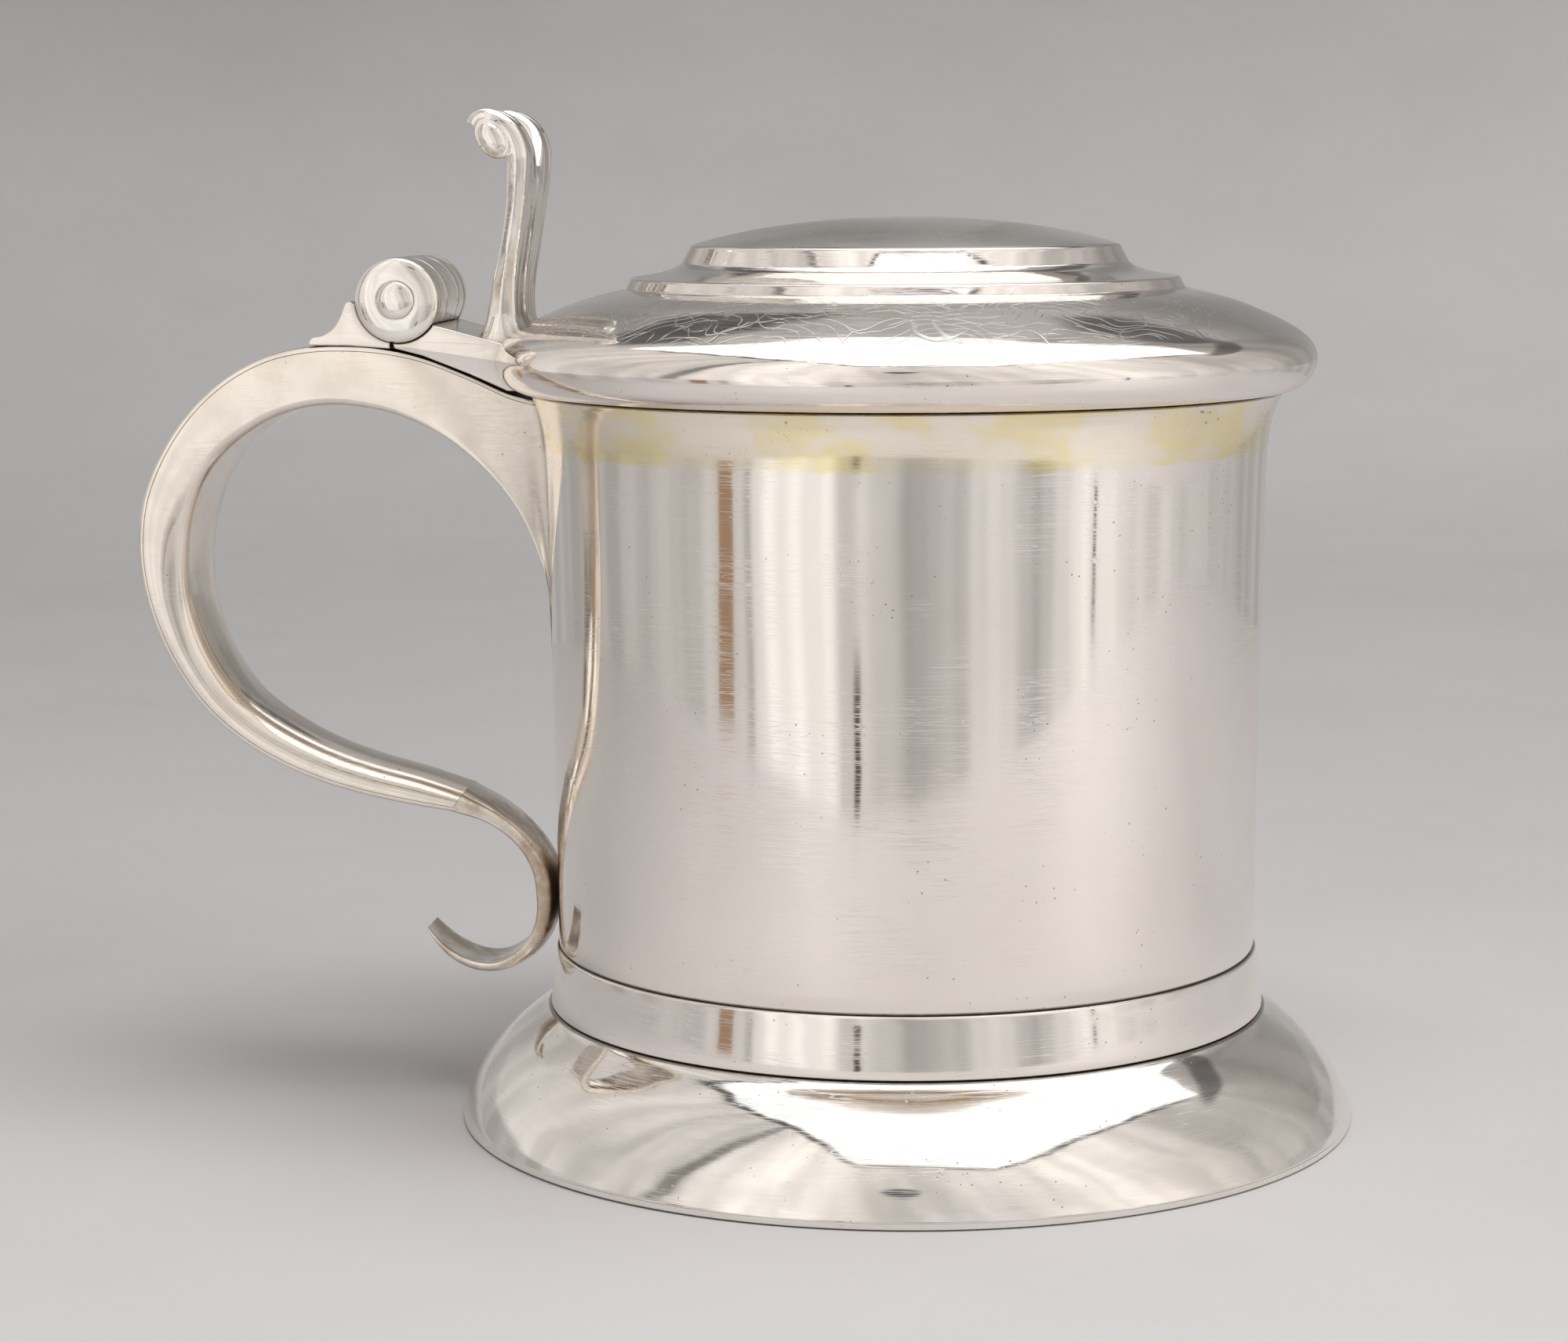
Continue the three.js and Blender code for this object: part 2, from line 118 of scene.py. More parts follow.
# ------------------------------------------------------------------ mesh building
def make(name, verts, faces, body, slot, cad, material, sharp=32, flat=False):
    me = bpy.data.meshes.new(name)
    me.from_pydata([row(v) for v in verts], [], faces)
    bm = bmesh.new()
    bm.from_mesh(me)
    bmesh.ops.remove_doubles(bm, verts=bm.verts, dist=2e-6)
    bmesh.ops.dissolve_degenerate(bm, edges=bm.edges, dist=1e-6)
    bmesh.ops.recalc_face_normals(bm, faces=bm.faces)
    if bm.calc_volume(signed=True) < 0:
        bmesh.ops.reverse_faces(bm, faces=bm.faces)
    bm.to_mesh(me)
    bm.free()
    me.polygons.foreach_set("use_smooth", [not flat] * len(me.polygons))
    if not flat:
        me.set_sharp_from_angle(angle=math.radians(sharp))
    me.materials.append(material)
    o = bpy.data.objects.new(name, me)
    bpy.context.scene.collection.objects.link(o)
    if body:
        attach(o, body)
    if cad:
        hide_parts(*cad)
    return o


def lathe_data(loop, seg, axis="z", wobble=None, half=0.0):
    """Turns a closed loop of (r, h). Points on the axis become one vertex."""
    verts, rings = [], []
    for r, h in loop:
        if r < 1e-4:
            verts.append((0.0, 0.0, h))
            rings.append([len(verts) - 1] * seg)
            continue
        ids = []
        for i in range(seg):
            t = 2 * math.pi * (i + half) / seg
            rr = r + (wobble(t, r, h) if wobble else 0.0)
            verts.append((rr * math.cos(t), rr * math.sin(t), h))
            ids.append(len(verts) - 1)
        rings.append(ids)
    faces = []
    m = len(loop)
    for k in range(m):
        a, b = rings[k], rings[(k + 1) % m]
        if a[0] == a[1] and b[0] == b[1]:
            continue
        for i in range(seg):
            j = (i + 1) % seg
            f = [a[i], a[j], b[j], b[i]]
            f = [v for n_, v in enumerate(f) if v not in f[:n_]]
            if len(f) > 2:
                faces.append(f)
    if axis == "y":
        verts = [(PIN[0] + x, h, PIN[1] + y) for x, y, h in verts]
    return verts, faces


def loft_data(sections, cap=True):
    """Closed sections of the same number of points, each end capped by one face."""
    n = len(sections[0])
    verts = [tuple(p) for s in sections for p in s]
    faces = []
    for s in range(len(sections) - 1):
        for i in range(n):
            j = (i + 1) % n
            faces.append([s * n + i, s * n + j, (s + 1) * n + j, (s + 1) * n + i])
    if cap:
        faces.append(list(range(n))[::-1])
        faces.append([(len(sections) - 1) * n + i for i in range(n)])
    return verts, faces


def inset(outline, d):
    """Outline moved inwards by d, by mitred vertex normals (outline anticlockwise)."""
    p = np.array(outline, float)
    a = p - np.roll(p, 1, axis=0)
    b = np.roll(p, -1, axis=0) - p
    a /= np.linalg.norm(a, axis=1)[:, None] + 1e-12
    b /= np.linalg.norm(b, axis=1)[:, None] + 1e-12
    na = np.stack([-a[:, 1], a[:, 0]], 1)
    nb = np.stack([-b[:, 1], b[:, 0]], 1)
    m = na + nb
    m /= np.linalg.norm(m, axis=1)[:, None] + 1e-12
    k = 1.0 / np.clip((m * na).sum(1), 0.55, 1)
    return p + m * (d * k)[:, None]


def anticlockwise(outline):
    p = np.array(outline, float)
    q = np.roll(p, -1, axis=0)
    area = (p[:, 0] * q[:, 1] - q[:, 0] * p[:, 1]).sum()
    return outline if area > 0 else outline[::-1]


def plate_data(outline, y0, y1, edge, n=5, inner=6):
    """Outline in XZ as a plate from y0 to y1 with rounded rims of radius edge."""
    outline = anticlockwise([tuple(p) for p in outline])
    stations = []
    for k in range(n + 1):
        t = math.pi / 2 * k / n
        stations.append((y0 + edge * (1 - math.sin(t)), edge * (1 - math.cos(t))))
    stations = stations[::-1] if False else stations
    ys = [(y0 + edge * (1 - math.cos(math.pi / 2 * k / n)), edge * (1 - math.sin(math.pi / 2 * k / n))) for k in range(n + 1)]
    mid = [(y0 + edge + (y1 - y0 - 2 * edge) * k / inner, 0.0) for k in range(1, inner)]
    ye = [(y1 - (y - y0), d) for y, d in ys[::-1]]
    sections = []
    for y, d in ys + mid + ye:
        q = inset(outline, d)
        sections.append([(x, y, z) for x, z in q])
    return loft_data(sections)


# ------------------------------------------------------------------ shader building
class Nodes:
    """A few helpers that keep the shader code short. Lengths in the maps are millimetres."""

    def __init__(self, name):
        self.mat = bpy.data.materials.new(name)
        self.mat.use_nodes = True
        self.t = self.mat.node_tree
        self.t.nodes.clear()
        self.out = self.add("ShaderNodeOutputMaterial")
        self.bsdf = self.add("ShaderNodeBsdfPrincipled")
        self.link(self.bsdf.outputs[0], self.out.inputs[0])
        tc = self.add("ShaderNodeTexCoord")
        mm = self.add("ShaderNodeVectorMath", operation="MULTIPLY_ADD")
        self.link(tc.outputs["Object"], mm.inputs[0])
        mm.inputs[1].default_value = (1000, 1000, 1000)
        mm.inputs[2].default_value = (-DX, 0, 0)
        self.p = mm.outputs[0]

    def add(self, kind, **props):
        n = self.t.nodes.new(kind)
        for k, v in props.items():
            setattr(n, k, v)
        return n

    def link(self, a, b):
        self.t.links.new(a, b)

    def put(self, socket, value):
        if hasattr(value, "links"):
            self.link(value, socket)
        else:
            socket.default_value = value

    def math(self, op, a, b=None, c=None, clamp=False):
        n = self.add("ShaderNodeMath", operation=op, use_clamp=clamp)
        self.put(n.inputs[0], a)
        if b is not None:
            self.put(n.inputs[1], b)
        if c is not None:
            self.put(n.inputs[2], c)
        return n.outputs[0]

    def vmul(self, v, k):
        n = self.add("ShaderNodeVectorMath", operation="MULTIPLY")
        self.put(n.inputs[0], v)
        n.inputs[1].default_value = k
        return n.outputs[0]

    def rot(self, v, r, s):
        n = self.add("ShaderNodeMapping")
        self.put(n.inputs[0], v)
        n.inputs["Rotation"].default_value = r
        n.inputs["Scale"].default_value = s
        return n.outputs[0]

    def sep(self, v):
        n = self.add("ShaderNodeSeparateXYZ")
        self.put(n.inputs[0], v)
        return n.outputs

    def comb(self, x, y, z):
        n = self.add("ShaderNodeCombineXYZ")
        for s, v in zip(n.inputs, (x, y, z)):
            self.put(s, v)
        return n.outputs[0]

    def noise(self, v, scale=1.0, detail=3.0, rough=0.5, distortion=0.0):
        n = self.add("ShaderNodeTexNoise")
        self.put(n.inputs["Vector"], v)
        n.inputs["Scale"].default_value = scale
        n.inputs["Detail"].default_value = detail
        n.inputs["Roughness"].default_value = rough
        n.inputs["Distortion"].default_value = distortion
        return n.outputs[0]

    def cells(self, v, scale=1.0, feature="F1", rand=1.0):
        n = self.add("ShaderNodeTexVoronoi", feature=feature)
        self.put(n.inputs["Vector"], v)
        n.inputs["Scale"].default_value = scale
        n.inputs["Randomness"].default_value = rand
        return n.outputs["Distance"]

    def step(self, x, lo, hi, a=0.0, b=1.0):
        n = self.add("ShaderNodeMapRange", interpolation_type="SMOOTHSTEP")
        self.put(n.inputs[0], x)
        n.inputs[1].default_value = lo
        n.inputs[2].default_value = hi
        n.inputs[3].default_value = a
        n.inputs[4].default_value = b
        return n.outputs[0]

    def mix(self, f, a, b):
        n = self.add("ShaderNodeMix", data_type="RGBA")
        self.put(n.inputs[0], f)
        for s, v in ((n.inputs[6], a), (n.inputs[7], b)):
            if hasattr(v, "links"):
                self.link(v, s)
            else:
                s.default_value = (*v, 1) if len(v) == 3 else v
        return n.outputs[2]

    def lines(self, v, width, scale=1.0, detail=2.0, distortion=0.0):
        """Thin wandering lines: where a noise crosses its middle value."""
        q = self.noise(v, scale, detail, 0.5, distortion)
        d = self.math("ABSOLUTE", self.math("SUBTRACT", q, 0.5))
        return self.step(d, 0.0, width, 1.0, 0.0)

    def polar(self):
        """(angle about the drum's axis times 58 mm, radius, height) in millimetres."""
        x, y, z = self.sep(self.p)
        ang = self.math("MULTIPLY", self.math("ARCTAN2", x, self.math("MULTIPLY", y, -1.0)), 58.0)
        rad = self.math("SQRT", self.math("ADD", self.math("MULTIPLY", x, x), self.math("MULTIPLY", y, y)))
        return ang, rad, z

    def bump(self, height, strength, distance):
        n = self.add("ShaderNodeBump")
        n.inputs["Strength"].default_value = strength
        n.inputs["Distance"].default_value = distance
        self.put(n.inputs["Height"], height)
        self.link(n.outputs[0], self.bsdf.inputs["Normal"])

    def crevice_tarnish_and_shade(self, distance_mm, lo=0.25, hi=0.95):
        """1 in crevices and 0 in the open, from ambient occlusion: tarnish that polishing leaves behind, together with
        painted shade.
        """
        n = self.add("ShaderNodeAmbientOcclusion", samples=6, only_local=False)
        n.inputs["Distance"].default_value = distance_mm / 1000.0
        return self.step(n.outputs["AO"], lo, hi, 1.0, 0.0)


SILVER = (0.945, 0.888, 0.838)
WARM = (0.80, 0.72, 0.62)
BROWN = (0.26, 0.18, 0.12)
DARK = (0.055, 0.042, 0.034)


def silver(name, base=SILVER, rough=0.10, hair=1.0, haze=0.35, tarnish=0.0, pits=0.0,
           gilt=False, engrave=False, seams=(), round_map=True, crevice_tarnish_and_shade=1.2, crevice_tarnish_and_shade_on=True,
           satin=0.0, joints=()):
    """Polished silver: hairlines, haze, pits, tarnish and painted shade in crevices, optional gilding and engraving.
    """
    s = Nodes(name)
    ang, rad, z = s.polar()
    flatmap = s.comb(ang, rad, z) if round_map else s.p
    # polishing hairlines run round a turned piece, with a few stray ones across it
    h1 = s.noise(s.vmul(flatmap, (0.035, 2.0, 5.5)) if round_map else s.vmul(s.p, (0.25, 3.0, 3.0)), 1.0, 4.0, 0.65)
    h2 = s.lines(s.rot(flatmap, (0, 0.35, 0.2), (0.05, 1.1, 1.1)), 0.018, 1.0, 1.0)
    h3 = s.lines(s.rot(flatmap, (0.3, -0.85, 0.4), (0.045, 0.9, 0.9)), 0.012, 1.0, 1.0)
    h4 = s.lines(s.rot(flatmap, (0.1, 1.35, 0.7), (0.06, 0.8, 0.8)), 0.010, 1.0, 1.0)
    patch = s.noise(s.vmul(s.p, (0.045, 0.045, 0.045)), 1.0, 3.0, 0.55)
    fine = s.noise(s.p, 0.55, 5.0, 0.62)
    some = s.step(s.noise(s.vmul(s.p, (0.07, 0.07, 0.09)), 1.0, 2.0), 0.42, 0.62)
    scratches = s.math("MULTIPLY", s.math("ADD", s.math("ADD", h2, h3), h4), s.math("MULTIPLY_ADD", some, 0.8, 0.2))
    height = s.math("MULTIPLY", h1, 0.10 * hair)
    height = s.math("MULTIPLY_ADD", scratches, -0.20 * hair, height)
    col = s.mix(s.math("MULTIPLY", s.step(patch, 0.35, 0.75), 0.40 * haze), base, WARM)
    r = s.math("MULTIPLY_ADD", s.step(patch, 0.35, 0.75), 0.045 * haze, rough)
    r = s.math("MULTIPLY_ADD", s.step(fine, 0.45, 0.8), 0.05 * haze, r)
    r = s.math("MULTIPLY_ADD", scratches, 0.14, r)
    if pits:
        d = s.cells(s.p, 0.62, "F1")
        where = s.step(s.noise(s.vmul(s.p, (0.08, 0.08, 0.12)), 1.0, 2.0), 0.50, 0.66)
        pit = s.math("MULTIPLY", s.step(d, 0.05, 0.13, 1.0, 0.0), where)
        height = s.math("MULTIPLY_ADD", pit, -1.4 * pits, height)
        col = s.mix(s.math("MULTIPLY", pit, 0.75), col, BROWN)
    if tarnish:
        q = s.noise(s.p, 0.16, 5.0, 0.6)
        m = s.math("MULTIPLY", s.step(q, 0.42, 0.66), tarnish)
        col = s.mix(m, col, (0.50, 0.39, 0.29))
        r = s.math("MULTIPLY_ADD", m, 0.16, r)
    if satin:
        r = s.math("ADD", r, satin)
    if engrave:
        # feathery cut strokes round the lid's shoulder, mirrored from clump to clump
        shoulder = s.math("MULTIPLY", s.step(rad, 47.2, 49.0), s.step(rad, 61.5, 64.5, 1.0, 0.0))
        warp = s.math("MULTIPLY_ADD", s.noise(s.comb(ang, rad, 0.0), 0.045, 2.0), 34.0, rad)
        wave = s.math("PINGPONG", ang, 26.0)
        strokes = None
        for slope, pitch, shift, cut, lo in ((0.38, 2.5, 0.0, 0.046, 0.45), (-0.55, 3.1, 3.7, 0.038, 0.50), (0.16, 4.1, 9.1, 0.030, 0.50)):
            u = s.math("MULTIPLY_ADD", wave, slope, s.math("ADD", warp, shift))
            f = s.math("ABSOLUTE", s.math("SUBTRACT", s.math("FRACT", s.math("DIVIDE", u, pitch)), 0.5))
            line = s.step(f, 0.0, cut, 1.0, 0.0)
            clump = s.step(s.noise(s.comb(s.math("ADD", ang, shift * 7), s.math("MULTIPLY", rad, 1.6), shift), 0.065, 2.0, 0.5), lo, lo + 0.05)
            line = s.math("MULTIPLY", line, clump)
            strokes = line if strokes is None else s.math("MAXIMUM", strokes, line)
        stems = s.lines(s.comb(ang, rad, 4.0), 0.010, 0.075, 1.0, 0.4)
        strokes = s.math("MAXIMUM", strokes, s.math("MULTIPLY", stems, 0.8))
        crown = s.math("MULTIPLY", s.step(rad, 30.5, 33.0, 1.0, 0.0), 0.55)
        net = s.math("MAXIMUM", s.lines(s.p, 0.012, 0.16, 1.0, 1.2), s.lines(s.rot(s.p, (0, 0, 1.1), (1, 1, 1)), 0.012, 0.22, 1.0, 0.8))
        where = s.step(s.noise(s.p, 0.06, 2.0), 0.42, 0.5)
        net = s.math("MULTIPLY", s.math("MULTIPLY", net, crown), where)
        cutline = s.math("MAXIMUM", s.math("MULTIPLY", strokes, shoulder), net)
        wear = s.step(s.noise(s.p, 0.2, 3.0), 0.30, 0.55, 0.35, 1.0)
        cutline = s.math("MULTIPLY", cutline, wear)
        height = s.math("MULTIPLY_ADD", cutline, -1.3, height)
        col = s.mix(s.math("MULTIPLY", cutline, 0.25), col, (0.98, 0.97, 0.96))
        r = s.math("MULTIPLY_ADD", cutline, 0.25, r)
    if gilt:
        rag = s.noise(s.comb(s.math("MULTIPLY", ang, 0.55), 0.0, s.math("MULTIPLY", z, 0.5)), 0.34, 4.0, 0.6)
        edge = s.math("MULTIPLY_ADD", rag, 3.4, z)
        band = s.step(edge, 112.9, 113.7)
        blot = s.noise(s.comb(s.math("MULTIPLY", ang, 0.06), 3.0, s.math("MULTIPLY", z, 0.10)), 1.0, 4.0, 0.6)
        lowline = s.math("MULTIPLY", s.step(z, 110.6, 112.6), s.step(z, 113.0, 117.5, 1.0, 0.45))
        g = s.math("MULTIPLY", band, s.math("MULTIPLY_ADD", s.step(blot, 0.44, 0.58), 0.74, 0.12))
        g = s.math("MULTIPLY_ADD", s.math("MULTIPLY", band, lowline), 0.20, g, clamp=True)
        col = s.mix(g, col, (0.94, 0.83, 0.52))
        # specks and scratches where the lid has knocked on the rim
        near = s.step(z, 115.2, 119.0)
        bl = s.step(s.noise(s.comb(s.math("MULTIPLY", ang, 0.05), 7.0, 0.0), 1.0, 2.0), 0.52, 0.60)
        sp = s.math("MULTIPLY", s.step(s.noise(s.comb(ang, 0.0, s.math("MULTIPLY", z, 1.6)), 0.62, 4.0, 0.7), 0.615, 0.645), s.math("MULTIPLY", near, bl))
        col = s.mix(s.math("MULTIPLY", sp, 0.8), col, (0.34, 0.24, 0.16))
        height = s.math("MULTIPLY_ADD", sp, -0.9, height)
        r = s.math("MULTIPLY_ADD", band, 0.05, r)
    for zc, half, amount in seams:
        # dark line left in a turned seam
        m = s.step(s.math("ABSOLUTE", s.math("SUBTRACT", z, zc)), half, half * 3.2, 1.0, 0.0)
        ragged = s.math("MULTIPLY_ADD", s.noise(s.p, 0.7, 3.0), 0.7, 0.55, clamp=True)
        m = s.math("MULTIPLY", s.math("MULTIPLY", m, ragged), amount)
        col = s.mix(m, col, DARK)
        r = s.math("MULTIPLY_ADD", m, 0.3, r)
    for (jx, jy, jz), jr, amount in joints:
        # tarnish spreading from a soldered joint
        d = s.add("ShaderNodeVectorMath", operation="DISTANCE")
        s.link(s.p, d.inputs[0])
        d.inputs[1].default_value = (jx, jy, jz)
        n = s.math("MULTIPLY_ADD", s.math("SUBTRACT", s.noise(s.p, 0.35, 4.0, 0.6), 0.5), 1.4 * jr, d.outputs["Value"])
        m = s.math("MULTIPLY", s.step(n, jr * 0.2, jr, 1.0, 0.0), amount)
        col = s.mix(m, col, (0.42, 0.31, 0.21))
        r = s.math("MULTIPLY_ADD", m, 0.18, r)
    if crevice_tarnish_and_shade_on:
        # painted shade: crevices found by ambient occlusion are darkened brown and roughened, partly standing for real
        # tarnish
        c = s.crevice_tarnish_and_shade(crevice_tarnish_and_shade)
        worn = s.math("MULTIPLY_ADD", s.noise(s.p, 0.5, 4.0), 0.8, 0.45, clamp=True)
        c = s.math("MULTIPLY", c, worn)
        col = s.mix(s.math("MULTIPLY", c, 0.80), col, (0.20, 0.145, 0.10))
        r = s.math("MULTIPLY_ADD", c, 0.22, r)
    s.bsdf.inputs["Metallic"].default_value = 1.0
    s.put(s.bsdf.inputs["Base Color"], col)
    s.put(s.bsdf.inputs["Roughness"], r)
    s.bump(height, 0.30, 0.00006)
    return s.mat


M_DRUM = silver("silver_drum", rough=0.05, hair=0.6, haze=0.40, gilt=True, pits=0.4,
                joints=(((-58, 0, 113), 15, 0.5), ((-59, 0, 36), 9, 0.85), ((-59, 0, 30), 6, 0.6)), seams=((28.9, 0.10, 0.65),), crevice_tarnish_and_shade=1.6)
M_BAND = silver("silver_band", rough=0.055, hair=0.7, haze=0.35, pits=0.5, crevice_tarnish_and_shade=0.6, seams=((28.75, 0.07, 0.55), (18.9, 0.08, 0.6)))
M_FOOT = silver("silver_foot", base=(0.925, 0.886, 0.845), rough=0.045, hair=0.9, haze=0.45, pits=1.0, crevice_tarnish_and_shade=0.6, seams=((18.66, 0.08, 0.6),))
M_WIRE = silver("silver_foot_wire", base=(0.90, 0.87, 0.83), rough=0.10, hair=1.2, haze=0.6, pits=0.8, crevice_tarnish_and_shade_on=False)
M_LID = silver("silver_lid", rough=0.04, hair=1.0, haze=0.35, pits=0.3, engrave=True, crevice_tarnish_and_shade=1.4,
               joints=(((-62.5, 0, 131), 14, 0.35),))
M_BEZEL = silver("gilt_bezel", base=(0.88, 0.79, 0.52), rough=0.20, hair=1.2, haze=0.6)
M_INSIDE = silver("silver_inside", base=(0.86, 0.83, 0.79), rough=0.30, hair=1.6, haze=0.8, tarnish=0.35)
M_HANDLE = silver("silver_handle", base=(0.875, 0.81, 0.735), rough=0.10, hair=0.9, haze=0.6, tarnish=0.15, pits=0.5, round_map=False,
                  joints=(((-58, 0, 112), 11, 0.75), ((-59.5, 0, 84), 7, 0.5), ((-63, 0, 44), 15, 0.7)))
M_STRAP = silver("silver_strap", base=(0.875, 0.815, 0.745), rough=0.085, hair=0.9, haze=0.6, tarnish=0.18, pits=0.5, round_map=False,
                 joints=(((-60, 0, 120), 8, 0.5), ((-66, 0, 47), 13, 0.6)))
M_TAIL = silver("silver_tail", base=(0.83, 0.765, 0.69), rough=0.14, hair=1.0, haze=0.8, tarnish=0.75, pits=0.8, round_map=False,
                joints=(((-59, 0, 38), 13, 0.95),))
M_CAST = silver("silver_cast", base=(0.89, 0.845, 0.79), rough=0.09, hair=0.9, haze=0.7, tarnish=0.16, pits=0.9, round_map=False, crevice_tarnish_and_shade=1.7)
M_THUMB = silver("silver_thumbpiece", base=(0.90, 0.86, 0.81), rough=0.06, hair=0.8, haze=0.6, tarnish=0.10, pits=0.8, round_map=False, crevice_tarnish_and_shade=2.2,
                 joints=(((-66.5, -13.5, 158.0), 3.2, 0.9), ((-65, 0, 131), 6.5, 0.8)))
M_CAP = silver("silver_cap", base=(0.91, 0.87, 0.82), rough=0.04, hair=0.8, haze=0.4, pits=0.4, round_map=False, crevice_tarnish_and_shade=1.0)

# painted shade: near-black lining for the vent hole, standing for the shadow inside the hollow box
dark = Nodes("vent_painted_shade")
dark.put(dark.bsdf.inputs["Base Color"], dark.mix(dark.noise(dark.p, 0.8, 4.0), (0.010, 0.008, 0.006), (0.03, 0.022, 0.016)))
dark.bsdf.inputs["Roughness"].default_value = 0.8
dark.bsdf.inputs["Metallic"].default_value = 0.3
M_VENT_SHADE = dark.mat


# ------------------------------------------------------------------ turned pieces
def planished(amount, seed, wave=21.0):
    """Slight unevenness of hand-raised work, in millimetres of radius."""
    def f(t, r, h):
        p = Vector((r * math.cos(t) / wave, r * math.sin(t) / wave, h / (wave * 2.4) + seed))
        q = Vector((r * math.cos(t) / (wave * 0.42), r * math.sin(t) / (wave * 0.42), h / (wave * 1.3) - seed))
        return amount * noise.noise(p) + 0.28 * amount * noise.noise(q)
    return f


SEG = 384

outer = spline([(58.1, 29.3), (58.2, 49.5), (58.6, 78.0), (59.0, 104.0), (59.25, 110.0), (59.7, 114.5), (60.5, 117.8), (61.3, 119.7)], 9)
inner = spline([(60.5, 119.9), (59.4, 118.1), (58.6, 114.7), (58.15, 110.0), (57.9, 104.0), (57.5, 78.0), (57.1, 49.5), (56.9, 31.0), (56.3, 27.5), (56.1, 22.5)], 6)
loop = [(57.2, 19.3), (57.2, 28.72), (57.85, 28.74), (58.02, 28.9)] + [tuple(p) for p in outer] + [(61.7, 120.3), (61.55, 120.55), (61.1, 120.6), (60.75, 120.4)] + [tuple(p) for p in inner] + [(56.1, 19.3)]
make("drum_body", *lathe_data(loop, SEG, wobble=planished(0.075, 3.1)), "vessel", "body_silver", ["drum"], M_DRUM, sharp=40)

band = rounded([(59.6, 18.9), (59.25, 22.1), (58.75, 25.7), (58.4, 28.7), (57.45, 28.7), (57.45, 18.9)], {0: 0.35, 3: 0.45, 4: 0.2, 5: 0.2}, 4)
more = []
for a, b in zip(band, band[1:] + band[:1]):
    n = max(1, int(np.linalg.norm(b - a) / 1.2))
    more += [tuple(a + (b - a) * k / n) for k in range(n)]
make("base_band_ring", *lathe_data(more, SEG, wobble=planished(0.03, 8.0)), "vessel", "body_silver", ["base_band"], M_BAND, sharp=40)

foot_out = spline([(74.48, 1.1), (73.85, 2.8), (72.0, 6.6), (69.4, 10.2), (66.2, 13.6), (63.0, 16.2), (60.7, 17.9), (59.95, 18.58)], 6)
foot_in = spline([(57.6, 17.5), (60.0, 16.7), (62.1, 15.3), (65.1, 12.8), (68.2, 9.5), (70.7, 6.0), (72.5, 2.6), (72.9, 1.03)], 3)
loop = [tuple(p) for p in foot_out] + [(59.6, 18.74), (57.6, 18.78)] + [tuple(p) for p in foot_in] + [(74.47, 1.03)]
make("foot_moulding_raised", *lathe_data(loop, SEG, wobble=planished(0.09, 5.7, 18.0)), "vessel", "foot_silver", ["foot_moulding"], M_FOOT, sharp=40)

wire = rounded([(74.5, 0.0), (74.5, 1.0), (72.9, 1.0), (72.9, 0.0)], {0: 0.28, 1: 0.05, 2: 0.05, 3: 0.2}, 4)
make("foot_wire_ring", *lathe_data([tuple(p) for p in wire], SEG), "vessel", "foot_silver", ["foot_wire"], M_WIRE, sharp=40)

floor_top = spline([(55.8, 21.6), (52.0, 21.2), (30.0, 20.9), (0.0, 20.6)], 6)
floor_low = spline([(0.0, 19.4), (30.0, 19.7), (55.8, 20.4)], 6)
make("drum_floor", *lathe_data([tuple(p) for p in floor_top + floor_low], 192), "vessel", "inner_silver", ["floor_disc"], M_INSIDE, sharp=40)

LID_OUT = (
    spline([(0, 148.8), (9, 148.6), (17, 147.9), (25, 146.75), (31, 145.45), (34.75, 144.42)], 5)
    + [np.array(p) for p in ((35.02, 144.27), (35.2, 144.02))]
    + spline([(35.28, 143.8), (35.85, 142.75), (36.5, 141.6)], 5)
    + spline([(36.62, 141.42), (37.6, 140.78), (39.8, 139.98), (42.4, 139.45), (44.5, 139.16)], 5)
    + [np.array(p) for p in ((44.78, 139.07), (44.98, 138.86))]
    + spline([(45.06, 138.66), (45.35, 138.1), (45.68, 137.45)], 4)
    + [np.array(p) for p in ((45.82, 137.27),)]
    + spline([(46.1, 137.16), (50.0, 136.25), (54.2, 135.05), (58.3, 133.4), (62.0, 131.65), (64.8, 129.95), (66.5, 128.1), (67.2, 126.0), (66.8, 123.9), (65.4, 122.0), (63.6, 121.0), (62.7, 120.9)], 7)
)
LID_IN = (
    [np.array(p) for p in ((62.1, 120.95), (61.8, 121.2))]
    + spline([(62.4, 121.9), (64.4, 123.0), (65.7, 124.5), (66.05, 126.0), (65.5, 127.5), (64.0, 129.1), (61.3, 130.7), (57.8, 132.3), (53.9, 133.7), (49.8, 134.6), (45.4, 135.1)], 3)
    + [np.array(p) for p in ((44.1, 135.7), (43.7, 137.1), (41.7, 137.5), (38.9, 138.1), (36.1, 139.7), (34.8, 141.7), (34.2, 143.3))]
    + spline([(30.7, 144.3), (24.8, 145.6), (16.9, 146.8), (8.9, 147.5), (0, 147.7)], 3)
)
make("lid_raised", *lathe_data([tuple(p) for p in LID_OUT + LID_IN], SEG, wobble=lambda t, r, h: (planished(0.10, 1.3, 19.0)(t, r, h)) * min(1, r / 20)), "lid", "lid_silver", ["lid_shell"], M_LID, sharp=45)

bez = rounded([(58.0, 116.6), (58.0, 121.2), (61.0, 121.2), (61.0, 122.2), (57.0, 122.2), (57.0, 116.6)], {0: 0.3, 1: 0.3, 2: 0.2, 3: 0.3, 4: 0.3, 5: 0.3}, 4)
make("lid_bezel_ring", *lathe_data([tuple(p) for p in bez], 256), "lid", "gilt_silver", ["lid_bezel"], M_BEZEL, sharp=40)


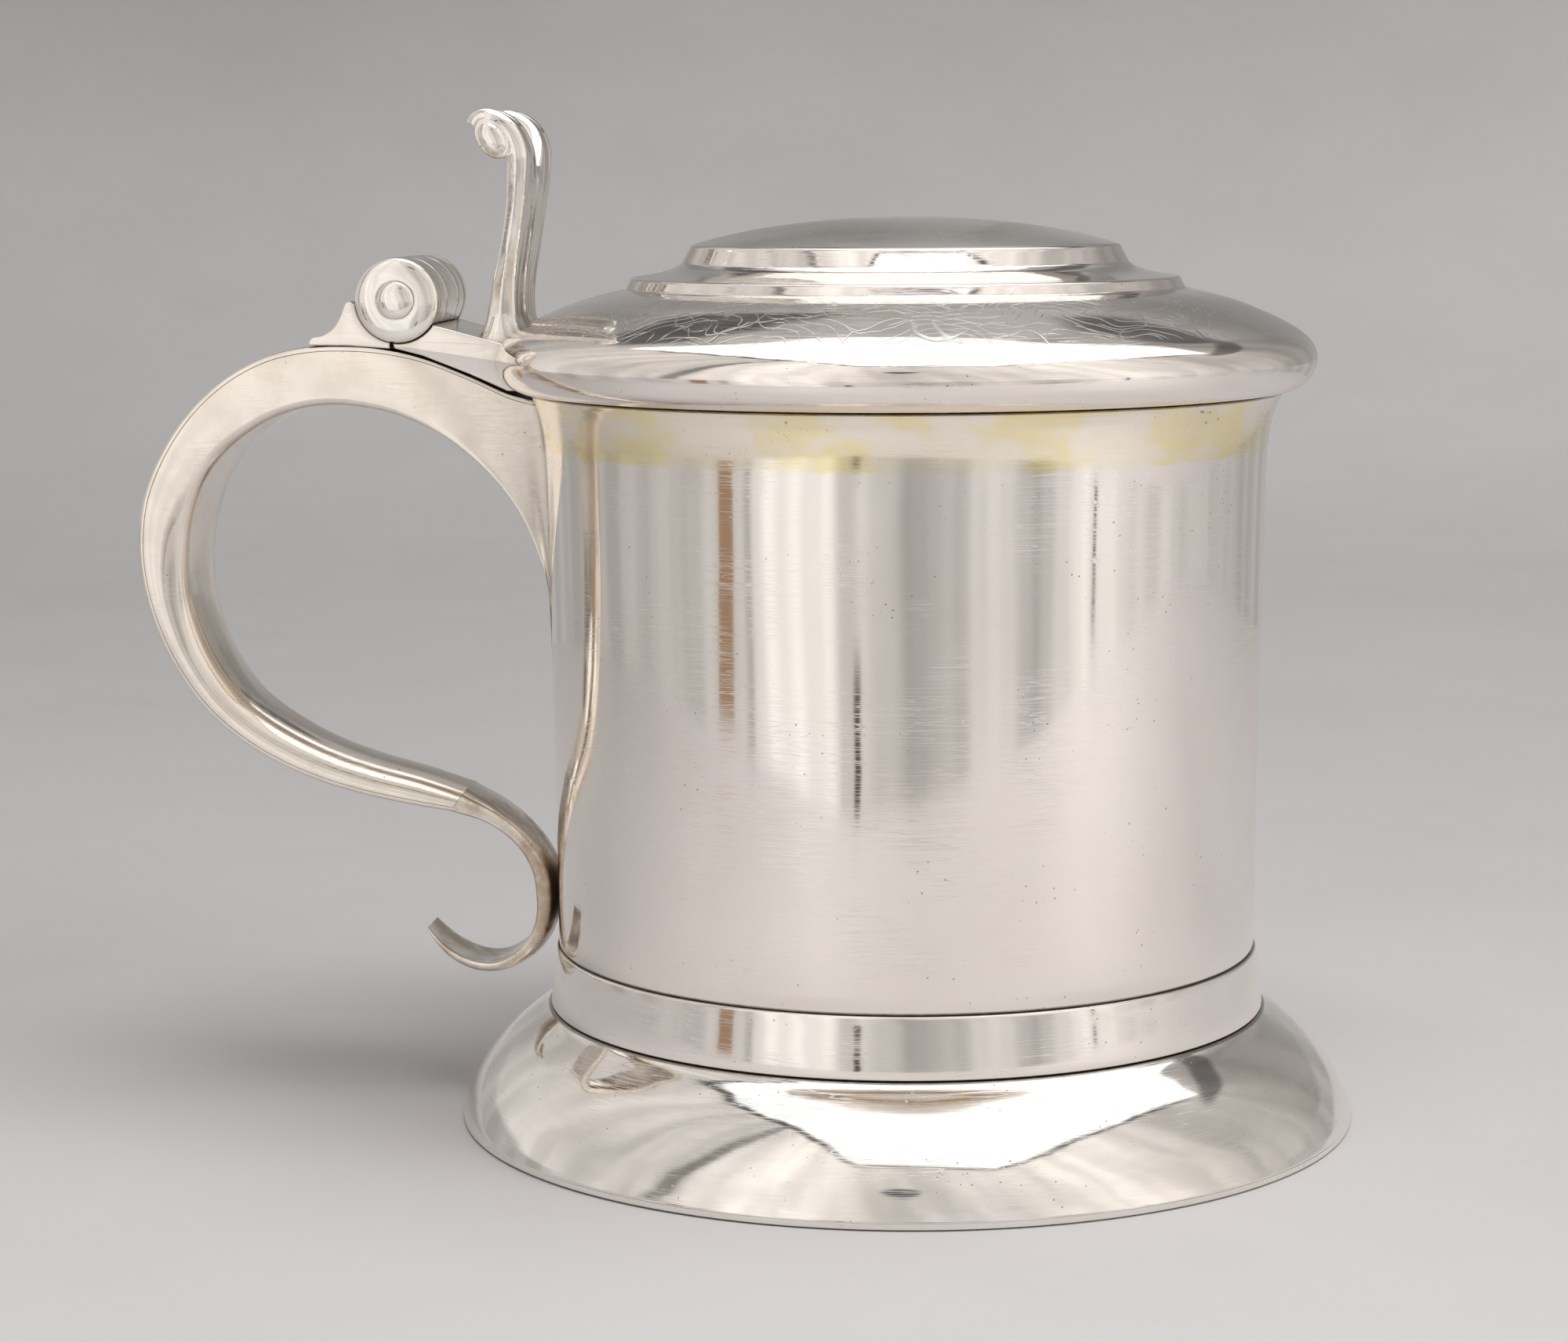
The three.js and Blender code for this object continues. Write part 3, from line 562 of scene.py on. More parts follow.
# ------------------------------------------------------------------ hinge barrel
def along_pin(name, loop, body, cad, material, seg=128, slot="cast_silver"):
    return make(name, *lathe_data([tuple(p) for p in loop], seg, axis="y"), body, slot, cad, material, sharp=38)


def knuckle_loop(y0, y1, edge=0.8):
    return rounded([(BARREL_R, y0), (BARREL_R, y1), (2.1, y1), (2.1, y0)], {0: edge, 1: edge, 2: 0.15, 3: 0.15}, 5)


def barrel(name, y0, y1, body, cad):
    pts = knuckle_loop(y0, y1)
    return along_pin(name, pts, body, cad, M_CAST)


barrel("barrel_lid_knuckle", -4.8, 4.8, "lid", ["lid_knuckle"])
barrel("barrel_front_knuckle", -10.9, -5.1, "vessel", ["handle_knuckle_front"])
barrel("barrel_rear_knuckle", 5.1, 10.9, "vessel", ["handle_knuckle_rear"])


def cap_loop(side):
    top = spline([(6.90, 12.65), (6.72, 13.02), (6.15, 13.37), (5.2, 13.65), (4.1, 13.81), (3.3, 13.85)], 6)
    pts = [(6.90, 11.2)] + [tuple(p) for p in top] + [(3.12, 13.75), (2.1, 13.75), (2.1, 11.2)]
    return [(r, side * y) for r, y in pts]


along_pin("barrel_front_cap", cap_loop(-1), "vessel", ["barrel_cap_front"], M_CAP, 160)
along_pin("barrel_rear_cap", cap_loop(1), "vessel", ["barrel_cap_rear"], M_CAP, 160)

head = spline([(0, 14.66), (1.0, 14.61), (1.9, 14.45), (2.6, 14.2), (2.95, 13.97), (3.05, 13.81)], 5)
loop = [(r, y) for r, y in head] + [(2.9, 13.78), (1.8, 13.78), (1.8, -13.78), (2.9, -13.78)] + [(r, -y) for r, y in head[::-1]]
along_pin("barrel_pin", loop, "vessel", ["hinge_pin"], M_CAP, 96)


# ------------------------------------------------------------------ lid's surface, to fit things to
_rz = [(p[0], p[1]) for p in LID_OUT]


def lid_radius(z):
    """Radius of the lid's outside at height z, between the rim's lower edge and the shoulder."""
    pts = [(q[1], q[0]) for q in _rz if q[0] > 46.4]
    best = 0.0
    for (z0, r0), (z1, r1) in zip(pts, pts[1:]):
        if (z0 - z) * (z1 - z) <= 0 and abs(z1 - z0) > 1e-9:
            best = max(best, r0 + (r1 - r0) * (z - z0) / (z1 - z0))
    return best


def lid_height(r):
    """Height of the lid's upper surface at radius r."""
    pts = [q for q in _rz if q[1] > 126]
    return float(np.interp(r, [q[0] for q in pts], [q[1] for q in pts]))


def clear_of_lid(v, sink=0.22):
    """Moves a point that is inside the lid out to just under its outer skin."""
    x, y, z = v
    r = math.hypot(x, y)
    if 121.0 < z < 136.0:
        rl = lid_radius(z) - sink
        if 0 < r < rl:
            if z > 126.5:
                # up along the surface's normal, near enough
                zl = lid_height(min(r, 67.1)) - sink
                if z < zl:
                    k = 0.5
                    rl2 = lid_radius(z) - sink
                    if rl2 - r < zl - z:
                        return (x * rl2 / r, y * rl2 / r, z)
                    return (x, y, zl)
                return v
            return (x * rl / r, y * rl / r, z)
    return v


def drum_radius(z):
    return float(np.interp(z, [18.9, 28.7, 29.0, 49.5, 78, 104, 110, 114.5, 117.8, 119.7, 121], [59.4, 58.5, 58.1, 58.2, 58.6, 59.0, 59.25, 59.7, 60.5, 61.3, 61.8]))


def clear_of_drum(v, sink=0.25):
    x, y, z = v
    r = math.hypot(x, y)
    rl = drum_radius(z) - sink
    if r < rl and z > 18:
        # straight back along X, so that the piece keeps its width
        return (-math.sqrt(max(rl * rl - y * y, 1.0)), y, z)
    return v


# ------------------------------------------------------------------ hinge block and seat
def pin_arc(radius, a0, a1, n):
    return [(PIN[0] + radius * math.cos(math.radians(a0 + (a1 - a0) * k / n)), PIN[1] + radius * math.sin(math.radians(a0 + (a1 - a0) * k / n))) for k in range(n + 1)]


def subdivide(poly, step):
    out = []
    m = len(poly)
    for i in range(m):
        a, b = np.array(poly[i], float), np.array(poly[(i + 1) % m], float)
        n = max(1, int(np.linalg.norm(b - a) / step))
        out += [tuple(a + (b - a) * k / n) for k in range(n)]
    return out


arc = pin_arc(BARREL_R + 0.2, -98, -35, 16)
base = arc + [(-65.6, 128.9), (-60.2, 127.4), (-60.2, 121.0), (-62.4, 120.98), (-64.1, 121.02), (-70.3, 123.74), (-78.0, 126.72), (-82.7, 127.92)]
outline = subdivide(base, 0.7)
bv, bf = plate_data(outline, -HALF_W, HALF_W, 0.34, 5, 24)
bv = [clear_of_lid(v) for v in bv]
block = make("hinge_box", bv, bf, "lid", "cast_silver", ["hinge_block"], M_CAST, sharp=30)


def drill(obj, centre, radius, depth):
    """Cuts a round blind hole along Y into obj's front face and lines it with a near-black material, painted shade for
    the unlit inside of the hollow box.
    """
    ring = []
    verts, faces = [], []
    n = 48
    for k, (r, y) in enumerate(((radius, -1.0), (radius, depth), (0.0, depth))):
        for i in range(n if r else 1):
            t = 2 * math.pi * i / n
            verts.append((centre[0] + r * math.cos(t), -HALF_W + y, centre[1] + r * math.sin(t)))
    for i in range(n):
        j = (i + 1) % n
        faces.append([i, j, n + j, n + i])
        faces.append([n + i, n + j, 2 * n])
    faces.append(list(range(n)))
    tool = make("drill_tool", verts, faces, None, None, None, M_VENT_SHADE)
    obj.data.materials.append(M_VENT_SHADE)
    mod = obj.modifiers.new("vent", "BOOLEAN")
    mod.operation = "DIFFERENCE"
    mod.solver = "EXACT"
    mod.object = tool
    dg = bpy.context.evaluated_depsgraph_get()
    me = bpy.data.meshes.new_from_object(obj.evaluated_get(dg), depsgraph=dg)
    obj.modifiers.clear()
    old = obj.data
    obj.data = me
    bpy.data.meshes.remove(old)
    bpy.data.objects.remove(tool)
    c = Vector(row((centre[0], 0, centre[1])))
    for p in me.polygons:
        q = p.center
        inside = math.hypot(q.x - c.x, q.z - c.z) < radius * 1.02 / 1000 and q.y > (-HALF_W + 0.06) / 1000
        p.material_index = 1 if inside and len(me.materials) > 1 else 0
    me.set_sharp_from_angle(angle=math.radians(30))


drill(block, (-72.3, 127.75), 1.0, 3.2)

seat = [(-97.0, 128.42), (-96.9, 129.2)] + [tuple(p) for p in spline([(-96.4, 129.7), (-94.6, 130.1), (-92.9, 131.2), (-91.7, 133.0), (-91.0, 134.8)], 8)] + [(-90.75, 135.35), (-90.0, 135.55), (-89.45, 135.2)] + pin_arc(BARREL_R + 0.12, 186, 259, 15) + [(-83.42, 127.88), (-84.9, 127.98), (-90.5, 128.38)]
seat = subdivide([tuple(p) for p in seat], 0.6)
make("hinge_saddle", *plate_data(seat, -HALF_W, HALF_W, 0.3, 5, 10), "vessel", "cast_silver", ["hinge_seat"], M_CAST, sharp=34)


# ------------------------------------------------------------------ handle
ROWS = [
    [-55.0, 118.4, -51.0, 66.0, 21.6], [-59.5, 119.3, -57.0, 81.5, 21.8], [-64.1, 120.5, -58.6, 91.0, 22.6],
    [-70.3, 123.3, -63.2, 101.8, 23.4], [-78.0, 126.3, -72.2, 111.4, 24.2], [-84.5, 127.8, -81.6, 116.6, 24.6],
    [-90.5, 128.3, -89.6, 118.4, 24.6], [-97.0, 128.1, -96.2, 118.4, 24.4], [-104.1, 126.6, -102.4, 116.8, 24.0],
    [-110.9, 123.2, -107.6, 114.0, 23.6], [-117.2, 117.8, -112.4, 109.8, 23.2], [-122.1, 111.1, -115.6, 104.8, 22.9],
    [-125.4, 103.9, -117.3, 99.2, 22.7], [-126.7, 96.5, -118.0, 93.4, 22.5], [-126.3, 89.0, -117.8, 87.0, 22.0],
    [-124.3, 81.3, -116.1, 80.6, 21.2], [-121.2, 74.4, -113.4, 74.9, 20.2], [-117.2, 68.4, -109.8, 70.0, 19.2],
    [-112.6, 63.8, -105.8, 66.7, 18.4], [-106.4, 59.5, -100.4, 63.4, 17.6], [-99.1, 56.0, -94.6, 60.7, 16.8],
    [-91.4, 53.5, -88.2, 58.5, 16.0], [-83.3, 51.7, -80.6, 56.4, 15.2], [-75.9, 50.4, -73.4, 54.0, 14.4],
]
TAIL = [
    [-75.9, 50.4, -73.4, 54.0, 14.4], [-69.7, 48.3, -67.4, 50.4, 13.6], [-65.2, 44.9, -63.0, 46.4, 13.0],
    [-62.5, 40.6, -59.7, 41.6, 12.6], [-61.7, 36.0, -58.6, 36.2, 12.6], [-61.9, 31.8, -59.2, 30.8, 12.6],
    [-63.3, 28.5, -61.0, 26.8, 12.6], [-65.8, 25.9, -64.4, 24.0, 12.6], [-69.0, 24.4, -68.4, 22.5, 12.4],
    [-72.6, 24.5, -73.0, 22.7, 12.0], [-76.6, 26.3, -77.3, 25.0, 11.2], [-79.4, 28.6, -79.9, 28.0, 9.8],
    [-80.6, 29.9, -80.9, 29.6, 8.6],
]
STRAP = 0.85


def stations(rows, n):
    return [list(p) for p in spline(rows, n)]


def frame_at(r):
    o, i = np.array(r[:2]), np.array(r[2:4])
    t = np.linalg.norm(i - o)
    return o, (i - o) / t, t, r[4] / 2


def section(r, pts):
    o, d, t, w = frame_at(r)
    return [(o[0] + d[0] * a, y, o[1] + d[1] * a) for a, y in pts]


def arc_pts(cx, cy, r, a0, a1, n):
    return [(cx + r * math.cos(math.radians(a0 + (a1 - a0) * k / n)), cy + r * math.sin(math.radians(a0 + (a1 - a0) * k / n))) for k in range(n + 1)]


def channel_section(r, u):
    """Body of the handle: flat sides above, fuller and rounder below."""
    o, d, t, w = frame_at(r)
    d0 = STRAP + 0.015
    rc = min(lerp_table([(0, 1.0), (5, 1.2), (8, 1.6), (12, 2.4), (16, 3.2), (20, 3.2), (23, 3.0)], u), 0.47 * (t - d0) + 0.4)
    full = lerp_table([(0, 0.0), (7, 0.05), (12, 0.20), (16, 0.35), (23, 0.25)], u)
    crown = lerp_table([(0, 0.10), (6, 0.25), (12, 0.35), (23, 0.35)], u)
    soft = lerp_table([(0, 0.0), (9, 0.0), (12, 0.35), (15.5, 0.9), (18, 1.0), (23, 1.0)], u)
    pts = []
    span = t - rc - d0
    for k in range(9):
        f = k / 9
        pts.append((d0 + span * f, -w - full * math.sin(math.pi * f) * 0.6 + (0.05 if k == 0 else 0)))
    pts += [(a, b) for a, b in arc_pts(t - rc, -w + rc, rc, -90, 0, 10)]
    for k in range(1, 12):
        f = k / 12
        pts.append((t + crown * math.sin(math.pi * f), (-w + rc) + 2 * (w - rc) * f))
    pts += [(a, b) for a, b in arc_pts(t - rc, w - rc, rc, 0, 90, 10)]
    for k in range(1, 10):
        f = 1 - k / 9
        pts.append((d0 + span * f, w + full * math.sin(math.pi * f) * 0.6 - (0.05 if k == 9 else 0)))
    if soft > 0:
        # towards the tail the section becomes a full, rounded D
        out = []
        for a, y in pts:
            g = (a - d0) / max(t - d0, 1e-6)
            yy = y / w
            ang_ = math.atan2(max(g, 0.0), yy)
            q = 2.45
            k = (abs(math.cos(ang_)) ** q + abs(math.sin(ang_)) ** q) ** (-1 / q)
            out.append((a + soft * (d0 + (t - d0) * k * math.sin(ang_) - a), y + soft * (w * k * math.cos(ang_) - y)))
        pts = out
    return section(r, pts)


def strap_section(r, u):
    o, d, t, w = frame_at(r)
    bow = lerp_table([(0, 0.0), (6, 0.15), (12, 0.35), (23, 0.30)], u)
    e = 0.38
    out = []
    for k in range(5):
        a = math.pi / 2 * k / 4
        out.append((e * (1 - math.sin(a)) , -w + e * (1 - math.cos(a))))
    for k in range(1, 12):
        f = k / 12
        out.append((-bow * math.sin(math.pi * f) * 0.5, (-w + e) + 2 * (w - e) * f))
    for k in range(5):
        a = math.pi / 2 * (1 - k / 4)
        out.append((e * (1 - math.sin(a)), w - e * (1 - math.cos(a))))
    out += [(STRAP - 0.12, w), (STRAP, w - 0.12), (STRAP, 0.0), (STRAP, -w + 0.12), (STRAP - 0.12, -w)]
    return section(r, out)


def tail_section(r, u):
    """Flat outside, rounded back, thinning to a blunt lip."""
    o, d, t, w = frame_at(r)
    e = min(0.45, t * 0.3)
    out = []
    for k in range(5):
        a = math.pi / 2 * k / 4
        out.append((e * (1 - math.sin(a)), -w + e * (1 - math.cos(a))))
    hollow = lerp_table([(0, -0.15), (4, 0.10), (8, 0.35), (12, 0.1)], u)
    for k in range(1, 12):
        f = k / 12
        out.append((hollow * math.sin(math.pi * f), (-w + e) + 2 * (w - e) * f))
    for k in range(5):
        a = math.pi / 2 * (1 - k / 4)
        out.append((e * (1 - math.sin(a)), w - e * (1 - math.cos(a))))
    q = max(t - e, 0.2)
    p = lerp_table([(0, 0.33), (3, 0.42), (8, 0.55), (12, 0.8)], u)
    for k in range(1, 24):
        a = math.pi * k / 24
        c, s_ = math.cos(a), math.sin(a)
        out.append((e + q * abs(s_) ** p, w * math.copysign(abs(c) ** 0.72, c)))
    soft = max(0.0, 1 - u / 3.2)
    if soft > 0:
        full = []
        for a, y in out:
            if a > e + 1e-6:
                g, yy = (a - e) / max(t - e, 1e-6), y / w
                ang_ = math.atan2(g, yy)
                k = (abs(math.cos(ang_)) ** 2.45 + abs(math.sin(ang_)) ** 2.45) ** (-1 / 2.45)
                a, y = a + soft * (e + (t - e) * k * math.sin(ang_) - a), y + soft * (w * k * math.cos(ang_) - y)
            full.append((a, y))
        out = full
    return section(r, out)


def handle_piece(name, rows, fn, n, cad, material, slot):
    st = stations(rows, n)
    secs = [[clear_of_drum(v) for v in fn(r, k / n)] for k, r in enumerate(st)]
    v, f = loft_data(secs)
    return make(name, v, f, "vessel", slot, cad, material, sharp=42)


handle_piece("handle_body", ROWS, channel_section, 8, ["handle_channel"], M_HANDLE, "handle_silver")
handle_piece("handle_outer_strap", ROWS, strap_section, 8, ["handle_strap"], M_STRAP, "handle_silver")
handle_piece("handle_curl", TAIL, tail_section, 8, ["handle_tail"], M_TAIL, "tarnished_silver")


# ------------------------------------------------------------------ thumbpiece
# middle line of the plate in XZ with half its thickness, then half its width
STEM = [
    (-65.0, 127.8, 4.2, 11.3), (-65.35, 129.9, 3.1, 11.2), (-65.4, 132.0, 2.2, 11.0), (-65.2, 135.0, 1.70, 11.1), (-64.7, 139.1, 1.40, 11.5),
    (-63.75, 144.0, 1.15, 12.3), (-62.85, 149.4, 1.1, 12.4), (-62.3, 154.0, 1.2, 12.9), (-62.1, 157.4, 1.3, 13.2),
]
LOBE = [
    (-62.65, 151.0, 0.95, 12.4, 1.2), (-62.25, 154.6, 1.1, 12.9, 0.35), (-62.05, 157.6, 1.25, 13.2, 2.0), (-62.2, 160.2, 1.3, 13.4, 3.9), (-63.1, 162.6, 1.2, 13.5, 5.4),
    (-64.7, 164.3, 1.05, 13.4, 6.1), (-66.8, 165.2, 0.9, 13.2, 6.3), (-68.5, 164.9, 0.75, 13.0, 6.4), (-69.3, 163.8, 0.6, 12.8, 6.4),
]


def plate_section(c, tangent, half_t, v0, v1, reeds):
    """Section across the plate: beads along its edges, reeds on the lid's side."""
    tx, tz = tangent
    nx, nz = tz, -tx          # towards the lid where the plate is upright
    mid, hw = (v0 + v1) / 2, (v1 - v0) / 2
    pts = []
    n = 44
    for k in range(n + 1):
        f = -1 + 2 * k / n
        v = mid + f * hw
        lift = 0.0
        edge = hw - abs(f) * hw
        lift += 0.55 * math.exp(-((edge - 1.15) / 0.75) ** 2)
        if reeds:
            a = abs(v)
            lift += 0.50 * reeds * math.exp(-((a - 1.7) / 0.75) ** 2)
            lift += 0.34 * reeds * math.exp(-((a - 5.4) / 0.75) ** 2)
            lift -= 0.30 * reeds * math.exp(-(a / 0.7) ** 2)
        roundoff = half_t * (1 - math.sqrt(max(0.0, 1 - max(0.0, 1 - edge / 0.9) ** 2)))
        pts.append((v, half_t - roundoff + lift * min(1, edge / 0.5)))
    for k in range(n + 1):
        f = 1 - 2 * k / n
        v = mid + f * hw
        edge = hw - abs(f) * hw
        lift = 0.40 * math.exp(-((edge - 1.0) / 0.7) ** 2)
        roundoff = half_t * (1 - math.sqrt(max(0.0, 1 - max(0.0, 1 - edge / 0.9) ** 2)))
        pts.append((v, -(half_t - roundoff) - lift * min(1, edge / 0.5)))
    return [(c[0] + nx * m, v, c[1] + nz * m) for v, m in pts]


def plate_loft(rows, side=None, reeds=True):
    st = [np.array(p) for p in spline(rows, 12)]
    secs = []
    for k, p in enumerate(st):
        a, b = st[max(k - 1, 0)], st[min(k + 1, len(st) - 1)]
        t = (b - a)[:2]
        t /= np.linalg.norm(t)
        if side is None:
            r = lerp_table([(0, 0.5), (0.12, 1.0), (0.9, 1.0), (1.0, 0.4)], k / (len(st) - 1)) if reeds else 0
            secs.append(plate_section(p[:2], t, p[2], -p[3], p[3], r))
        else:
            v0, v1 = sorted((side * p[3], side * max(p[4], 0.25)))
            secs.append(plate_section(p[:2], t, p[2], v0, v1, 0))
    return loft_data(secs)


def boss_data(side):
    """The rolled-over end of a lobe: an oval roll whose outer face has a raised rim."""
    cx, cz = -65.85, 161.75
    ax, az, tilt = 2.45, 3.6, math.radians(34)
    prof = [(0.0, 16.1), (0.30, 16.06), (0.55, 15.9), (0.72, 15.62), (0.79, 15.38), (0.85, 15.36), (0.91, 15.5), (0.97, 15.45), (1.0, 15.2), (1.0, 14.8), (0.98, 12.5), (0.97, 10.0), (0.96, 9.2), (0.92, 8.8), (0.7, 8.5), (0.0, 8.4)]
    n = 56
    verts, faces, rings = [], [], []
    for f, y in prof:
        ids = []
        for i in range(n if f > 0 else 1):
            t = 2 * math.pi * i / n
            x, z = ax * f * math.cos(t), az * f * math.sin(t)
            verts.append((cx + x * math.cos(tilt) - z * math.sin(tilt), side * (y - 2.0 * min(1.0, y / 9.0)), cz + x * math.sin(tilt) + z * math.cos(tilt)))
            ids.append(len(verts) - 1)
        rings.append(ids if len(ids) > 1 else ids * n)
    for a, b in zip(rings, rings[1:]):
        for i in range(n):
            j = (i + 1) % n
            f = [a[i], a[j], b[j], b[i]]
            f = [v for q, v in enumerate(f) if v not in f[:q]]
            if len(f) > 2:
                faces.append(f)
    return verts, faces


def merge(parts):
    verts, faces = [], []
    for v, f in parts:
        k = len(verts)
        verts += list(v)
        faces += [[i + k for i in q] for q in f]
    return verts, faces


def thumb():
    parts = [plate_loft(STEM), plate_loft(LOBE, -1), plate_loft(LOBE, 1), boss_data(-1), boss_data(1)]
    # foot of the plate, spreading onto the box and the lid's rim
    flare = []
    for z, hx, hy in ((127.9, 5.6, 11.7), (129.3, 4.7, 11.5), (130.4, 3.6, 11.25), (131.6, 2.8, 11.1), (133.0, 2.2, 11.0)):
        ring = []
        for k in range(48):
            t = 2 * math.pi * k / 48
            c, s_ = math.cos(t), math.sin(t)
            ring.append((-65.5 + hx * math.copysign(abs(c) ** 0.7, c), hy * math.copysign(abs(s_) ** 0.35, s_), z))
        flare.append(ring)
    parts.append(loft_data(flare))
    verts, faces = [], []
    objs = []
    for k, (v, f) in enumerate(parts):
        objs.append(make("thumb_part_%d" % k, v, f, None, None, None, M_THUMB))
    # join the closed parts, then fuse them into one cast skin
    bm = bmesh.new()
    for o in objs:
        bm.from_mesh(o.data)
    me = bpy.data.meshes.new("thumb_fused")
    bm.to_mesh(me)
    bm.free()
    for o in objs:
        bpy.data.objects.remove(o)
    o = bpy.data.objects.new("thumb_fused", me)
    bpy.context.scene.collection.objects.link(o)
    rm = o.modifiers.new("skin", "REMESH")
    rm.mode = "VOXEL"
    rm.voxel_size = 0.00021
    rm.use_smooth_shade = True
    sm = o.modifiers.new("soft", "SMOOTH")
    sm.factor = 0.5
    sm.iterations = 4
    dg = bpy.context.evaluated_depsgraph_get()
    out = bpy.data.meshes.new_from_object(o.evaluated_get(dg), depsgraph=dg)
    bpy.data.objects.remove(o)
    # sit it on the box and the lid
    bm = bmesh.new()
    bm.from_mesh(out)
    for v in bm.verts:
        x, y, z = v.co.x * 1000 - DX, v.co.y * 1000, v.co.z * 1000
        x, y, z = clear_of_lid((x, y, z), 0.28)
        top = 131.75 + (x + 76.15) * (128.9 - 131.75) / (76.15 - 65.6) - 0.25
        if z < top and x < -62.0:
            z = top
        v.co = Vector(row((x, y, z)))
    bmesh.ops.dissolve_degenerate(bm, edges=bm.edges, dist=2e-6)
    bmesh.ops.recalc_face_normals(bm, faces=bm.faces)
    bm.to_mesh(out)
    bm.free()
    out.polygons.foreach_set("use_smooth", [True] * len(out.polygons))
    out.materials.clear()
    out.materials.append(M_THUMB)
    o = bpy.data.objects.new("thumbpiece_cast", out)
    bpy.context.scene.collection.objects.link(o)
    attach(o, "lid")
    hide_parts("thumbpiece")


thumb()


# ------------------------------------------------------------------ floor, backdrop and what the silver mirrors
def stage_mesh(name, profile, seg, centre, material):
    verts, faces, rings = [], [], []
    around = [profile(2 * math.pi * i / seg) if callable(profile) else profile for i in range(seg)]
    for k in range(len(around[0])):
        ids = []
        for i in range(seg if around[0][k][0] > 0 else 1):
            t = 2 * math.pi * i / seg
            r, z = around[i][k]
            verts.append((centre[0] + r * math.cos(t), centre[1] + r * math.sin(t), z))
            ids.append(len(verts) - 1)
        rings.append(ids if len(ids) > 1 else ids * seg)
    for a, b in zip(rings, rings[1:]):
        for i in range(seg):
            j = (i + 1) % seg
            f = [a[i], a[j], b[j], b[i]]
            f = [v for q, v in enumerate(f) if v not in f[:q]]
            if len(f) > 2:
                faces.append(f)
    me = bpy.data.meshes.new(name)
    me.from_pydata(verts, [], faces)
    me.polygons.foreach_set("use_smooth", [True] * len(me.polygons))
    me.materials.append(material)
    o = bpy.data.objects.new(name, me)
    bpy.context.scene.collection.objects.link(o)
    return o


AX = DX / 1000.0

fl = Nodes("pale_floor")
spot = fl.step(fl.noise(fl.vmul(fl.p, (0.012, 0.012, 0.012)), 1.0, 5.0, 0.6), 0.3, 0.8)
fx, fy, fz = fl.sep(fl.p)
frad = fl.math("SQRT", fl.math("ADD", fl.math("MULTIPLY", fx, fx), fl.math("MULTIPLY", fy, fy)))
faz = fl.math("MULTIPLY", fl.math("ARCTAN2", fx, fl.math("MULTIPLY", fy, -1.0)), 180.0 / math.pi)


def along(x, stops):
    """A number that follows x through the given stops."""
    lo, hi = stops[0][0], stops[-1][0]
    n = fl.add("ShaderNodeValToRGB")
    els = n.color_ramp.elements
    while len(els) > 1:
        els.remove(els[-1])
    for k, (p, c) in enumerate(stops):
        e = els[0] if k == 0 else els.new((p - lo) / (hi - lo))
        e.position = (p - lo) / (hi - lo)
        e.color = (c, c, c, 1)
    fl.link(fl.math("DIVIDE", fl.math("SUBTRACT", x, lo), hi - lo), n.inputs[0])
    return n.outputs[0]


# painted light: the floor's colour follows how the light falls off unevenly over the table and up the backdrop
deep = along(fy, [(-1600, 0.60), (-800, 0.64), (-320, 0.74), (-160, 0.725), (-60, 0.675), (60, 0.635), (200, 0.61), (450, 0.62), (800, 0.70), (1100, 0.80), (1300, 0.81), (1420, 0.76), (1520, 0.70), (1700, 0.68)])
left_ = fl.step(fx, -660, -140, 1.0, 0.0)
leftfade = fl.math("MULTIPLY", left_, fl.math("MULTIPLY_ADD", fl.step(fy, 1230, 1530), 0.17, fl.math("MULTIPLY", fl.step(fy, 500, 1200), 0.10)))
rightup = fl.math("MULTIPLY", fl.step(fx, -150, 300), fl.math("MULTIPLY", fl.step(fy, 700, 1250), 0.06))
lit = fl.math("MULTIPLY", deep, fl.math("ADD", fl.math("SUBTRACT", 1.0, leftfade), rightup))
# painted light: two brighter pools painted in front of the table where the softboxes fall
pools = along(faz, [(-180, 0.88), (-120, 0.88), (-85, 0.92), (-60, 1.03), (-36, 1.08), (-22, 1.18), (-8, 1.10), (8, 1.0), (40, 1.04), (55, 1.15), (66, 1.14), (82, 1.05), (105, 0.92), (140, 0.85), (180, 0.86)])
outer_ = fl.math("MULTIPLY", fl.math("MULTIPLY", fl.step(frad, 150, 230), fl.step(frad, 430, 640, 1.0, 0.0)), fl.step(fy, 40, 150, 1.0, 0.0))
lit = fl.math("MULTIPLY", lit, fl.math("MULTIPLY_ADD", outer_, fl.math("SUBTRACT", pools, 1.0), 1.0))
lit = fl.math("MULTIPLY", lit, fl.math("MULTIPLY_ADD", spot, -0.045, 1.02))
fl.put(fl.bsdf.inputs["Base Color"], fl.comb(lit, fl.math("MULTIPLY", lit, 0.981), fl.math("MULTIPLY", lit, 0.983)))
fl.bsdf.inputs["Roughness"].default_value = 0.75
fl.bsdf.inputs["Specular IOR Level"].default_value = 0.15
sweep = [(0.0, -0.0002), (0.15, -0.0002), (0.4, -0.0002), (0.85, -0.0002)]
for k in range(1, 17):
    t = math.pi / 2 * k / 16
    sweep.append((0.85 + 1.0 * math.sin(t), -0.0002 + 1.0 * (1 - math.cos(t))))
sweep += [(1.85, 2.2)]
stage_mesh("floor_and_backdrop", sweep, 128, (AX, 0.0), fl.mat)

